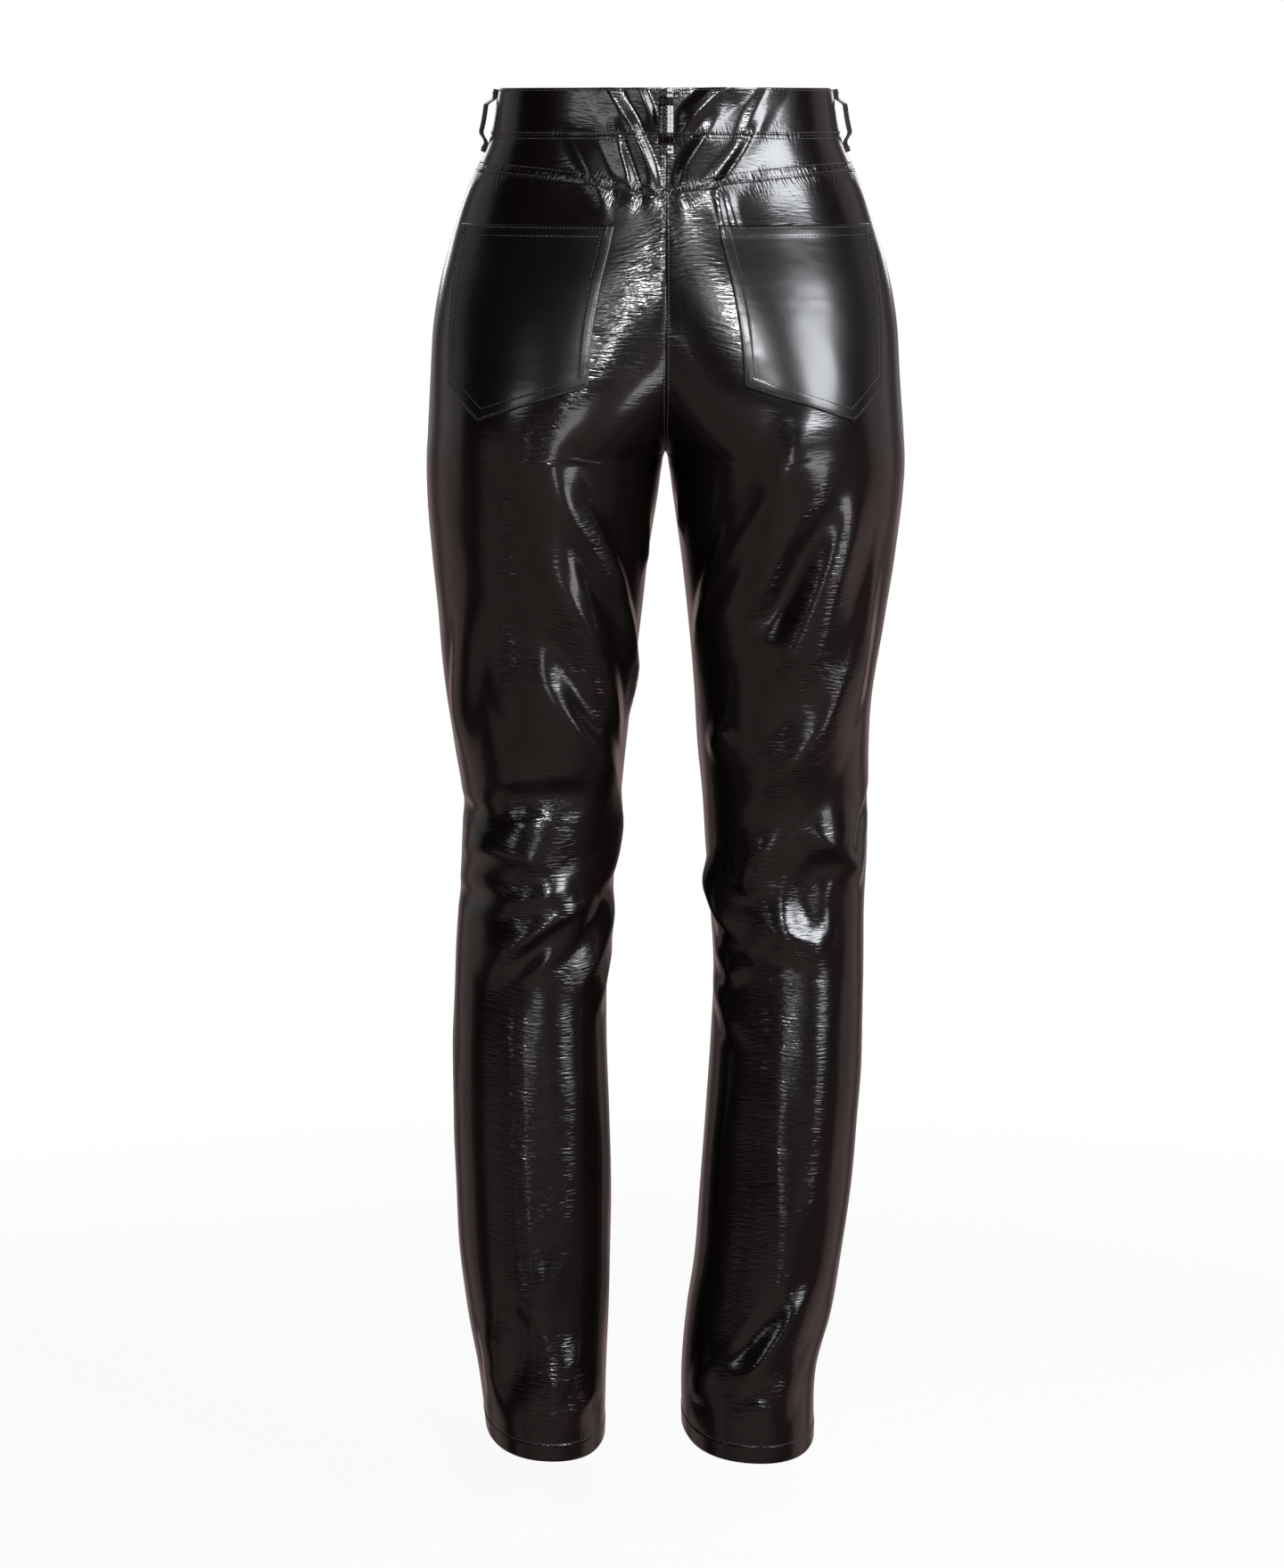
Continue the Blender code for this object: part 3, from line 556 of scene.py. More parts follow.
@dataclass
class LegForm:
    """The form of one leg and its half of the hips: rings, outseam, folds and fine wrinkles."""

    name: str
    sign: int
    leg_rings: tuple
    outseam: tuple
    folds: tuple
    crinkles: tuple
    hem_tilt: float
    seed: int
    edge_range: tuple = (-1060.0, 19.0, 0.5)
    waist_form_from: float = -90.0
    curve_pieces: int = 12
    near_widths: float = 1.5
    near_spare: float = 12.0
    fold_taper: tuple = (-0.02, 0.42, 0.68, 1.02)
    fold_clear_of_centre: tuple = (2.0, 16.0)
    facet_reach: float = 0.28
    ridge_rounding: float = 0.08
    pinch: float = 1.2
    crinkle_taper: tuple = (0, 0.12, 0.88, 1)
    crinkle_fade: tuple = (0.35, 1.15)
    waviness: float = 0.6
    small_share: float = 0.5
    ripple_height: float = 0.13
    least_ripple: float = 0.3
    broad_cell: tuple = (46.0, 62.0)
    small_cell: tuple = (24.0, 38.0)
    bend_cell: tuple = (30.0, 40.0)
    ripple_cell: tuple = (24.0, 6.5)
    wave_slant: float = 90.0
    ripple_bend: float = 5.0
    calm_seams: tuple = (1.0, 14.0)
    calm_waist: tuple = (YOKE_AT_BACK - 12, BAND_SEAM - 8)
    rings: tuple = field(init=False)
    edge_heights: np.ndarray = field(init=False)
    edges: dict = field(init=False)

    def __post_init__(self) -> None:
        """Joins the hips to the leg and works out where the centre seam and inseam run."""
        self.rings = HIP_RINGS + self.leg_rings
        self.edge_heights = np.arange(*self.edge_range)
        half_gap = np.full_like(self.edge_heights, SEAM_GAP / 2)
        inseam = 180 - np.degrees(SEAM_GAP / 2 / self.radius(self.edge_heights))
        self.edges = {}
        for face in Face:
            centre = np.abs(self.angle_at(self.edge_heights, half_gap, face))
            self.edges[face] = np.minimum(centre, inseam)

    def oval(self, z: np.ndarray, angle: np.ndarray) -> tuple[np.ndarray, np.ndarray]:
        """A smooth ring without folds.

        Args:
            z: heights.
            angle: angles round the leg, in degrees.

        Returns:
            Distances from the centre plane, and places front to back.
        """
        outer, middle, inner, front, back = (through(self.rings, name, z) for name in Ring._fields[1:])
        half_depth = (back - front) / 2
        turn = np.radians(angle)
        half_width = np.where(np.cos(turn) > 0, outer - middle, middle - inner)
        behind = (1 + np.sin(turn)) / 2
        waist = ease(CROTCH, self.waist_form_from, z)
        waist_roundness = ROUNDNESS_WAIST_FRONT + (ROUNDNESS_WAIST_BACK - ROUNDNESS_WAIST_FRONT) * behind
        power = ROUNDNESS_LEG + (waist_roundness - ROUNDNESS_LEG) * waist
        spread = np.abs(np.cos(turn) / half_width) ** power + np.abs(np.sin(turn) / half_depth) ** power
        reach = spread ** (-1 / power)
        return middle + reach * np.cos(turn), (front + back) / 2 + reach * np.sin(turn)

    def radius(self, z: np.ndarray) -> np.ndarray:
        """The mean radius of a ring."""
        outer, _, inner, front, back = (through(self.rings, name, z) for name in Ring._fields[1:])
        return (outer - inner + back - front) / 4

    def angle_at(self, z: np.ndarray, across: np.ndarray, face: Face) -> np.ndarray:
        """The angle at which a ring is a distance from the centre plane.

        Args:
            z: heights.
            across: distances from the centre plane.
            face: back or front.

        Returns:
            Angles in degrees, below zero on the front.
        """
        low = np.zeros_like(z)
        high = np.full_like(z, 180.0)
        halvings = 30
        for _ in range(halvings):
            mid = (low + high) / 2
            outside = self.oval(z, face.value * mid)[0] > across
            low = np.where(outside, mid, low)
            high = np.where(outside, high, mid)
        return face.value * low

    def inner_edge(self, z: np.ndarray, face: Face) -> np.ndarray:
        """The angle of the centre seam above the crotch, and of the inseam below it."""
        return face.value * np.interp(z, self.edge_heights, self.edges[face])

    def outer_edge(self, z: np.ndarray, face: Face) -> np.ndarray:
        """The angle of the outseam, half a gap to the back or front of it."""
        return through(self.outseam, "angle", z) + face.value * np.degrees(SEAM_GAP / 2 / self.radius(z))

    def hem(self, angle: np.ndarray) -> np.ndarray:
        """The height of the hem round the leg."""
        turn = np.radians(angle)
        return HEM_MIDDLE + self.hem_tilt * np.cos(turn) - HEM_BACK_DROP * np.sin(turn)

    def angle_across(self, z: np.ndarray, share: np.ndarray, face: Face) -> np.ndarray:
        """The angle at a share of the way from the outseam to the centre seam or inseam."""
        outer = self.outer_edge(z, face)
        return outer + (self.inner_edge(z, face) - outer) * share

    def yoke_seam(self, share: np.ndarray) -> np.ndarray:
        """The height of the seam under the yoke, at a share of the way from the outseam to the centre.

        Args:
            share: shares of the way from the outseam to the centre.

        Returns:
            Heights.
        """
        middle = np.full(share.shape, (YOKE_AT_BACK + YOKE_AT_SIDE) / 2)
        turn = self.angle_across(middle, share, Face.BACK) - self.outer_edge(middle, Face.BACK)
        return YOKE_AT_BACK + np.cos(np.radians(turn)) * (YOKE_AT_SIDE - YOKE_AT_BACK)

    def beside(self, row: Fold | Crinkle, z: np.ndarray, angle: np.ndarray) -> tuple[np.ndarray, np.ndarray]:
        """Where places lie along and beside the curve of a fold or crinkle.

        Args:
            row: the fold or crinkle.
            z: heights.
            angle: angles.

        Returns:
            Distances from the curve, over 0 on the inseam side of a downward one, and shares of its length.
        """
        t = np.linspace(0, 1, self.curve_pieces + 1)
        path_z = bent(row.z_from, row.z_mid, row.z_to, t)
        path_angle = bent(row.angle_from, row.angle_mid, row.angle_to, t)
        apart = (angle[..., None] - path_angle + 180) % 360 - 180
        round_the_leg = np.radians(apart) * self.radius(z)[..., None]
        down = z[..., None] - path_z
        run_z = np.diff(path_z)
        run_round = np.radians(np.diff(path_angle)) * self.radius(path_z[:-1])
        start_z = down[..., :-1]
        start_round = round_the_leg[..., :-1]
        along = np.clip((start_z * run_z + start_round * run_round) / (run_z**2 + run_round**2), 0, 1)
        off_z = start_z - along * run_z
        off_round = start_round - along * run_round
        distance = np.hypot(off_z, off_round)
        nearest = np.argmin(distance, axis=-1)[..., None]
        turn = np.sign(run_round * off_z - run_z * off_round)
        offset = np.take_along_axis(distance * turn, nearest, -1)[..., 0]
        passed = np.take_along_axis(along, nearest, -1)[..., 0] + nearest[..., 0]
        return offset, passed / self.curve_pieces

    def near(self, row: Fold | Crinkle, z: np.ndarray) -> np.ndarray:
        """Which heights lie within reach of a fold or crinkle.

        Args:
            row: the fold or crinkle.
            z: heights.

        Returns:
            True for each height within reach.
        """
        heights = (row.z_from, row.z_mid, row.z_to)
        spare = self.near_widths * row.half_width + self.near_spare
        return (z > min(heights) - spare) & (z < max(heights) + spare)

    def fold_height(self, z: np.ndarray, angle: np.ndarray) -> np.ndarray:
        """How far the folds lift the cloth off its smooth ring.

        Args:
            z: heights.
            angle: angles.

        Returns:
            The lift at each place.
        """
        lift = np.zeros_like(z)
        for fold in self.folds:
            here = self.near(fold, z)
            if not here.any():
                continue
            offset, share = self.beside(fold, z[here], angle[here])
            beyond = offset / (fold.half_width * (1 + self.facet_reach * fold.crisp)) - fold.lean
            beyond = beyond / np.where(beyond > 0, 1 - fold.lean, 1 + fold.lean)
            rounded = np.clip(1 - beyond**2, 0, 1) ** 2
            tent = np.hypot(beyond, self.ridge_rounding) - self.ridge_rounding
            pinched = np.clip(1 - tent / (1 - self.ridge_rounding), 0, 1) ** self.pinch
            shape = rounded + (pinched - rounded) * fold.crisp
            lift[here] += fold.height * swell(self.fold_taper, share) * shape
        across = self.oval(z, angle)[0]
        return lift * np.where(z > CROTCH, ease(*self.fold_clear_of_centre, across), 1)

    def crinkle_depth(self, z: np.ndarray, angle: np.ndarray) -> np.ndarray:
        """How strongly the coating is wrinkled, from 0 to 1.

        Args:
            z: heights.
            angle: angles.

        Returns:
            The strength at each place.
        """
        depth = np.zeros_like(z)
        for strip in self.crinkles:
            here = self.near(strip, z)
            if not here.any():
                continue
            offset, share = self.beside(strip, z[here], angle[here])
            fade = 1 - ease(*self.crinkle_fade, np.abs(offset) / strip.half_width)
            strength = strip.depth * fade * swell(self.crinkle_taper, share)
            depth[here] = np.maximum(depth[here], strength)
        return depth

    def unevenness(self, z: np.ndarray, angle: np.ndarray) -> np.ndarray:
        """Slow waves all over the cloth, and short ripples where the coating is wrinkled.

        Args:
            z: heights.
            angle: angles.

        Returns:
            How far each place stands out, or below zero in.
        """
        arc = np.radians(angle) * self.radius(z)

        def waves(cell: tuple, number: int, slant: float = 0.0, bend: np.ndarray | float = 0.0) -> np.ndarray:
            """Noise with cells this long round the leg and down it."""
            return mottle(arc / cell[0] + slant, (z + bend) / cell[1], self.seed + number)

        broad = waves(self.broad_cell, 0, z / self.wave_slant)
        slow = broad + self.small_share * waves(self.small_cell, 1)
        bend = self.ripple_bend * waves(self.bend_cell, 2)
        ripple = 1 - 2 * np.abs(waves(self.ripple_cell, 3, bend=bend))
        below_waist = 1 - ease(*self.calm_waist, z)
        centre = ease(*self.calm_seams, self.oval(z, angle)[0])
        inseam = ease(*self.calm_seams, np.radians(180 - np.abs(angle)) * self.radius(z))
        calm = below_waist * np.where(z > CROTCH, centre, inseam)
        depth = np.maximum(self.crinkle_depth(z, angle), self.least_ripple)
        return calm * (self.waviness * slow + self.ripple_height * ripple * depth)

    def lift(self, z: np.ndarray, angle: np.ndarray) -> np.ndarray:
        """How far the worn cloth stands off its smooth ring."""
        return self.fold_height(z, angle) + self.unevenness(z, angle)

    def surface(self, z: np.ndarray, angle: np.ndarray, out: np.ndarray | float) -> np.ndarray:
        """Points at a distance outside the smooth ring.

        Args:
            z: heights.
            angle: angles.
            out: how far out, or below zero in.

        Returns:
            Points in millimetres.
        """
        tiny = 0.02
        across, deep = self.oval(z, angle)
        across_on, deep_on = self.oval(z, angle + tiny)
        across_up, deep_up = self.oval(z + tiny, angle)
        round_way = np.stack([across_on - across, deep_on - deep, np.zeros_like(z)], -1)
        up_way = np.stack([across_up - across, deep_up - deep, np.full_like(z, tiny)], -1)
        normal = unit(np.cross(round_way, up_way))
        points = np.stack([across, deep, z], -1) + normal * np.broadcast_to(out, z.shape)[..., None]
        return points * np.array([self.sign, 1, 1])


class Edge(Enum):
    """The four edges of a grid of cloth: whether it is a column, and whether it comes last."""

    TOP = (False, False)
    BOTTOM = (False, True)
    OUTER = (True, False)
    INNER = (True, True)

    def turned(self, grid: np.ndarray) -> np.ndarray:
        """The grid with its rows counted from this edge.

        Args:
            grid: a value or point for each place.

        Returns:
            The same, its first row along this edge.
        """
        is_column, is_last = self.value
        rows = grid.swapaxes(0, 1) if is_column else grid
        return rows[::-1] if is_last else rows

    def turned_back(self, grid: np.ndarray) -> np.ndarray:
        """The reverse of turned.

        Args:
            grid: a turned grid.

        Returns:
            The grid as it was.
        """
        is_column, is_last = self.value
        rows = grid[::-1] if is_last else grid
        return rows.swapaxes(0, 1) if is_column else rows


class Roll(NamedTuple):
    """An edge that turns in towards its seam: how deep, and from how far inside it."""

    edge: Edge
    drop: float
    reach: float


class Fade(NamedTuple):
    """Something that dies away to both sides of a line at a distance inside an edge."""

    edge: Edge
    strength: float
    reach: float
    at: float = 0.0


class Row(NamedTuple):
    """A row of stitches inside an edge, and how far from the ends of the edge it starts and stops."""

    edge: Edge
    inset: float
    start: float = ROW_ENDS
    end: float = ROW_ENDS


class Bar(NamedTuple):
    """A bar tack inside an edge: where it starts, or below zero how far before the end, and its size."""

    edge: Edge
    inset: float
    at: float
    length: float
    width: float = 1.9


@dataclass
class Grid:
    """A grid of places on one leg's cloth: rows from the top down, columns from the outer side inwards."""

    form: LegForm
    z: np.ndarray
    angle: np.ndarray
    lift: np.ndarray = field(init=False)
    smooth: np.ndarray = field(init=False)

    def __post_init__(self) -> None:
        """Works out the folds and the unfolded surface once."""
        self.lift = self.form.lift(self.z, self.angle)
        self.smooth = self.form.surface(self.z, self.angle, 0.0)

    def points(
        self, out: np.ndarray | float, round_by: np.ndarray | float = 0.0, down_by: np.ndarray | float = 0.0
    ) -> np.ndarray:
        """Points off the folded cloth.

        Args:
            out: how far out, or below zero in.
            round_by: how far they are shifted round the leg, towards larger angles.
            down_by: how far they are shifted down.

        Returns:
            Points in millimetres.
        """
        turn = np.degrees(round_by / self.form.radius(self.z))
        return self.form.surface(self.z - down_by, self.angle + turn, self.lift + out)

    def inset(self, edge: Edge) -> np.ndarray:
        """How far each point is from an edge, along the grid's lines."""
        return edge.turned_back(travelled(edge.turned(self.smooth)))

    def rolls(self, rows: tuple) -> np.ndarray:
        """The relief of edges that turn in."""
        return sum(rolled(self.inset(row.edge), row.drop, row.reach) for row in rows)

    def grooves(self, rows: tuple) -> np.ndarray:
        """The relief of the channels under rows of stitches."""
        return sum(groove(self.inset(row.edge), row.inset) for row in rows)

    def fades(self, rows: tuple) -> np.ndarray:
        """What dies away from lines inside the edges, added up."""
        return sum(row.strength * np.exp(-np.abs(self.inset(row.edge) - row.at) / row.reach) for row in rows)

    def lap(self, edge: Edge, way: np.ndarray | float) -> np.ndarray:
        """How far the inside is shifted at one edge, to run on under the next piece: way is 1, 0 or -1.

        Args:
            edge: the edge.
            way: 1, 0 or -1, for all of the edge or for each place along it.

        Returns:
            The shift at each place.
        """
        by = np.zeros_like(self.z)
        edge.turned(by)[0] = way * SEAM_LAP
        return by

    def normals(self, points: np.ndarray) -> np.ndarray:
        """Unit normals of the grid's points, out of the cloth.

        Args:
            points: the grid's points.

        Returns:
            A unit normal for each.
        """
        normal = unit(np.cross(np.gradient(points, axis=0), np.gradient(points, axis=1)))
        outwards = self.form.surface(self.z, self.angle, 1.0) - self.smooth
        return normal * np.sign((normal * outwards).sum(-1, keepdims=True))

    def flat_size(self) -> tuple[float, float, float]:
        """The size of the cut laid flat: its widest row, longest column and area, in metres.

        Returns:
            Width, length and area.
        """
        across = np.linalg.norm(np.diff(self.smooth, axis=1), axis=-1).sum(1).max()
        down = np.linalg.norm(np.diff(self.smooth, axis=0), axis=-1).sum(0).max()
        one = self.smooth[1:, 1:] - self.smooth[:-1, :-1]
        two = self.smooth[1:, :-1] - self.smooth[:-1, 1:]
        area = (np.linalg.norm(np.cross(one, two), axis=-1) / 2).sum()
        return float(across * MM), float(down * MM), float(area * MM * MM)


def groove(distance: np.ndarray, at: float, depth: float = 0.07, width: float = 0.6) -> np.ndarray:
    """The shallow channel that a row of stitches pulls into the cloth.

    Args:
        distance: places' distances from an edge.
        at: the row's distance from that edge.
        depth: how deep the channel is.
        width: how wide it is, from its middle.

    Returns:
        The relief, below zero.
    """
    return -depth * np.exp(-(((distance - at) / width) ** 2))


def rolled(distance: np.ndarray, drop: float, reach: float) -> np.ndarray:
    """The way an edge turns in towards its seam, as a relief below zero."""
    return -drop * (1 - ease(0, reach, distance))


def over_allowance(distance: np.ndarray, rise: float, inner: float, outer: float) -> np.ndarray:
    """The relief of cloth that lies over a turned-in allowance, which ends between two distances."""
    return rise * (1 - ease(inner, outer, distance))


Socket = bpy.types.NodeSocket
WAVE_STRIPES = 6.3  # light and dark stripes, counted together, to the metre of a wave texture at scale 1


@dataclass
class NodeTree:
    """Adds and joins shader nodes."""

    tree: bpy.types.NodeTree

    def add(self, kind: str, inputs: dict | None = None, **settings) -> bpy.types.Node:
        """Adds a node.

        Args:
            kind: the node's Blender type.
            inputs: values or sockets for its inputs, by name or number.
            settings: its other properties.

        Returns:
            The node.
        """
        node = self.tree.nodes.new(kind)
        for name, value in settings.items():
            setattr(node, name, value)
        self.feed(node, inputs or {})
        return node

    def feed(self, node: bpy.types.Node, inputs: dict) -> None:
        """Joins sockets to a node's inputs, or sets their values.

        Args:
            node: the node.
            inputs: sockets or values, by the input's name or number.
        """
        for name, value in inputs.items():
            if isinstance(value, Socket):
                self.tree.links.new(value, node.inputs[name])
            else:
                node.inputs[name].default_value = value

    def attribute(self, name: str, output: str) -> Socket:
        """A value stored on the mesh."""
        return self.add("ShaderNodeAttribute", attribute_name=name).outputs[output]

    def sum(self, operation: str, *values: Socket | float, clamp: bool = False) -> Socket:
        """A maths node's result for one to three values."""
        node = self.add("ShaderNodeMath", dict(enumerate(values)), operation=operation, use_clamp=clamp)
        return node.outputs[0]

    def stretched(self, vector: Socket, scale: tuple) -> Socket:
        """A vector multiplied along its three axes."""
        node = self.add("ShaderNodeVectorMath", {0: vector, 1: scale}, operation="MULTIPLY")
        return node.outputs[0]

    def noise(self, vector: Socket, scale: float, detail: float = 2.0) -> Socket:
        """Soft noise from 0 to 1."""
        inputs = {"Vector": vector, "Scale": scale, "Detail": detail, "Roughness": 0.5}
        return self.add("ShaderNodeTexNoise", inputs).outputs[0]

    def ridges(self, vector: Socket, scale: tuple, sharpness: float = 4.4) -> Socket:
        """Rounded ridges from 0 to 1, drawn out along the axis with the smaller scale.

        Args:
            vector: places on the cloth.
            scale: how close the ridges lie along each axis.
            sharpness: how narrow they are.

        Returns:
            Their height.
        """
        spread = self.noise(self.stretched(vector, scale), 1.0, 1.5)
        off_middle = self.sum("ABSOLUTE", self.sum("SUBTRACT", spread, 0.5))
        return self.sum("SUBTRACT", 1.0, self.sum("MULTIPLY", off_middle, sharpness), clamp=True)

    def between(self, value: Socket, low: float, high: float, start: float = 0, end: float = 1) -> Socket:
        """A value from low to high, for one that runs from start to end."""
        return self.add("ShaderNodeMapRange", {0: value, 1: start, 2: end, 3: low, 4: high}).outputs[0]

    def soft_step(self, value: Socket, start: float, end: float) -> Socket:
        """A smooth step from 0 at start to 1 at end."""
        inputs = {"Value": value, "From Min": start, "From Max": end}
        return self.add("ShaderNodeMapRange", inputs, interpolation_type="SMOOTHSTEP").outputs[0]

    def tinted(self, share: Socket, one: tuple, two: tuple) -> Socket:
        """A colour between two."""
        inputs = {"Factor": share, 6: (*one, 1), 7: (*two, 1)}
        return self.add("ShaderNodeMix", inputs, data_type="RGBA").outputs[2]

    def stripes(self, vector: Socket, per_metre: float, distortion: float, direction: str) -> Socket:
        """Soft stripes from 0 to 1, light and dark ones together about so many to the metre."""
        inputs = {"Vector": vector, "Scale": per_metre / WAVE_STRIPES, "Distortion": distortion}
        return self.add("ShaderNodeTexWave", inputs, bands_direction=direction).outputs["Fac"]

    def bump(self, height: Socket, distance: float, strength: float) -> Socket:
        """A surface direction from a height."""
        inputs = {"Height": height, "Distance": distance, "Strength": strength}
        return self.add("ShaderNodeBump", inputs).outputs[0]


def new_finish(name: str) -> tuple[bpy.types.Material, NodeTree, bpy.types.Node]:
    """An empty finish.

    Args:
        name: its name.

    Returns:
        Its material, its nodes and its shader.
    """
    material = bpy.data.materials.new(name)
    material.use_nodes = True
    return material, NodeTree(material.node_tree), material.node_tree.nodes["Principled BSDF"]


@dataclass(frozen=True)
class CoatedCloth:
    """Cloth with a glossy coating that wrinkles finely across the leg, and along its horizontal seams."""

    name: str
    dark: tuple
    light: tuple
    roughness: tuple
    coat: float
    coat_roughness: float
    wrinkle: float
    least_wrinkle: float
    grain: float
    wrinkle_scale: tuple = (52.0, 320.0, 1.0)
    finer_wrinkles: tuple = (1.8, 1.5, 1.0)
    finer_share: float = 0.35
    pucker_scale: tuple = (330.0, 70.0, 1.0)
    drift_scale: float = 38.0
    drift: tuple = (0.003, 0.005, 0.0)
    patch_scale: float = 55.0
    patch_range: tuple = (0.3, 1.5)
    grain_scale: float = 1500.0
    smear_scale: float = 42.0
    smear_stretch: tuple = (1.0, 0.6, 1.0)
    tone_scale: float = 17.0
    ior: float = 1.48

    def height(self, nodes: NodeTree, cut: Socket) -> Socket:
        """How high the coating stands: wrinkles, puckers along the seams and grain.

        Args:
            nodes: the finish's nodes.
            cut: places on the flat cut.

        Returns:
            The height.
        """
        crinkle = nodes.attribute("crinkle", "Fac")
        pucker = nodes.attribute("pucker", "Fac")
        noise = {"Vector": cut, "Scale": self.drift_scale, "Detail": 1.0}
        drift = nodes.add("ShaderNodeTexNoise", noise).outputs["Color"]
        centred = nodes.add("ShaderNodeVectorMath", {0: drift, 1: (0.5, 0.5, 0.5)}, operation="SUBTRACT")
        shift = nodes.stretched(centred.outputs[0], self.drift)
        cloth = nodes.add("ShaderNodeVectorMath", {0: cut, 1: shift}, operation="ADD").outputs[0]

        strength = nodes.between(crinkle, self.least_wrinkle, 1.0)
        patchy = nodes.between(nodes.noise(cut, self.patch_scale), *self.patch_range)
        strength = nodes.sum("MULTIPLY", strength, patchy)
        broad = nodes.ridges(cloth, self.wrinkle_scale)
        scale = tuple(one * other for one, other in zip(self.wrinkle_scale, self.finer_wrinkles))
        wrinkles = nodes.sum("MULTIPLY_ADD", nodes.ridges(cloth, scale), self.finer_share, broad)
        wrinkles = nodes.sum("MULTIPLY", wrinkles, strength)
        puckers = nodes.sum("MULTIPLY", nodes.ridges(cloth, self.pucker_scale), pucker)
        grain = nodes.sum("MULTIPLY", nodes.noise(cut, self.grain_scale, 3.0), self.grain)
        return nodes.sum("ADD", nodes.sum("ADD", wrinkles, puckers), grain)

    def make(self) -> bpy.types.Material:
        """Makes the material.

        Returns:
            The material.
        """
        material, nodes, shader = new_finish(self.name)
        cut = nodes.attribute("cut", "Vector")
        normal = nodes.bump(self.height(nodes, cut), self.wrinkle * MM, 1.0)
        smears = nodes.noise(nodes.stretched(cut, self.smear_stretch), self.smear_scale, 4.0)
        looks = {
            "Normal": normal,
            "Coat Normal": normal,
            "Roughness": nodes.between(smears, *self.roughness),
            "Base Color": nodes.tinted(nodes.noise(cut, self.tone_scale, 3.0), self.dark, self.light),
            "IOR": self.ior,
            "Coat Weight": self.coat,
            "Coat Roughness": self.coat_roughness,
        }
        nodes.feed(shader, looks)
        return material


@dataclass(frozen=True)
class ClothBacking:
    """The matt knitted back of the coated cloth."""

    name: str = "Cloth backing"
    dark: tuple = (0.022, 0.020, 0.020)
    light: tuple = (0.042, 0.039, 0.039)
    rows_per_metre: float = 1100.0
    wales_per_metre: float = 900.0
    unevenness: float = 0.6
    knit_height: float = 0.12
    knit_strength: float = 0.8
    fuzz_share: float = 0.5
    fuzz_scale: float = 900.0
    tone_scale: float = 140.0
    roughness: tuple = (0.78, 0.95)

    def make(self) -> bpy.types.Material:
        """Makes the material.

        Returns:
            The material.
        """
        material, nodes, shader = new_finish(self.name)
        cut = nodes.attribute("cut", "Vector")
        wales = nodes.stripes(cut, self.wales_per_metre, self.unevenness, "X")
        rows = nodes.stripes(cut, self.rows_per_metre, self.unevenness, "Y")
        knit = nodes.sum("MULTIPLY", wales, rows)
        fuzz = nodes.noise(cut, self.fuzz_scale, 3.0)
        height = nodes.sum("MULTIPLY_ADD", fuzz, self.fuzz_share, knit)
        looks = {
            "Normal": nodes.bump(height, self.knit_height * MM, self.knit_strength),
            "Base Color": nodes.tinted(nodes.noise(cut, self.tone_scale, 4.0), self.dark, self.light),
            "Roughness": nodes.between(fuzz, *self.roughness),
        }
        nodes.feed(shader, looks)
        return material


@dataclass(frozen=True)
class Thread:
    """Black sewing thread, twisted, with a low sheen."""

    name: str = "Thread"
    dark: tuple = (0.03, 0.027, 0.027)
    light: tuple = (0.09, 0.085, 0.085)
    twists_per_metre: float = 1600.0
    unevenness: float = 0.8
    twist_height: float = 0.06
    twist_strength: float = 0.7
    sheen_scale: float = 700.0
    roughness: tuple = (0.2, 0.34)

    def make(self) -> bpy.types.Material:
        """Makes the material.

        Returns:
            The material.
        """
        material, nodes, shader = new_finish(self.name)
        place = nodes.add("ShaderNodeTexCoord").outputs["Object"]
        twist = nodes.stripes(place, self.twists_per_metre, self.unevenness, "DIAGONAL")
        looks = {
            "Normal": nodes.bump(twist, self.twist_height * MM, self.twist_strength),
            "Base Color": nodes.tinted(twist, self.dark, self.light),
            "Roughness": nodes.between(nodes.noise(place, self.sheen_scale), *self.roughness),
        }
        nodes.feed(shader, looks)
        return material


@dataclass(frozen=True)
class DarkMetal:
    """Blackened metal, brushed round its middle and worn brighter in places."""

    name: str = "Dark metal"
    dark: tuple = (0.035, 0.035, 0.038)
    worn: tuple = (0.16, 0.16, 0.17)
    scratch_scale: tuple = (9000.0, 1200.0, 1200.0)
    scratch_height: float = 0.02
    scratch_strength: float = 0.5
    wear_scale: float = 420.0
    wear_range: tuple = (0.5, 0.8)
    roughness: tuple = (0.2, 0.38)

    def make(self) -> bpy.types.Material:
        """Makes the material.

        Returns:
            The material.
        """
        material, nodes, shader = new_finish(self.name)
        place = nodes.add("ShaderNodeTexCoord").outputs["Object"]
        scratches = nodes.noise(nodes.stretched(place, self.scratch_scale), 1.0, 4.0)
        wear = nodes.noise(place, self.wear_scale, 4.0)
        worn = nodes.between(wear, 0, 1, *self.wear_range)
        looks = {
            "Normal": nodes.bump(scratches, self.scratch_height * MM, self.scratch_strength),
            "Base Color": nodes.tinted(worn, self.dark, self.worn),
            "Roughness": nodes.between(scratches, *self.roughness),
            "Metallic": 1.0,
        }
        nodes.feed(shader, looks)
        return material


Finishes = dict[Slot, bpy.types.Material]


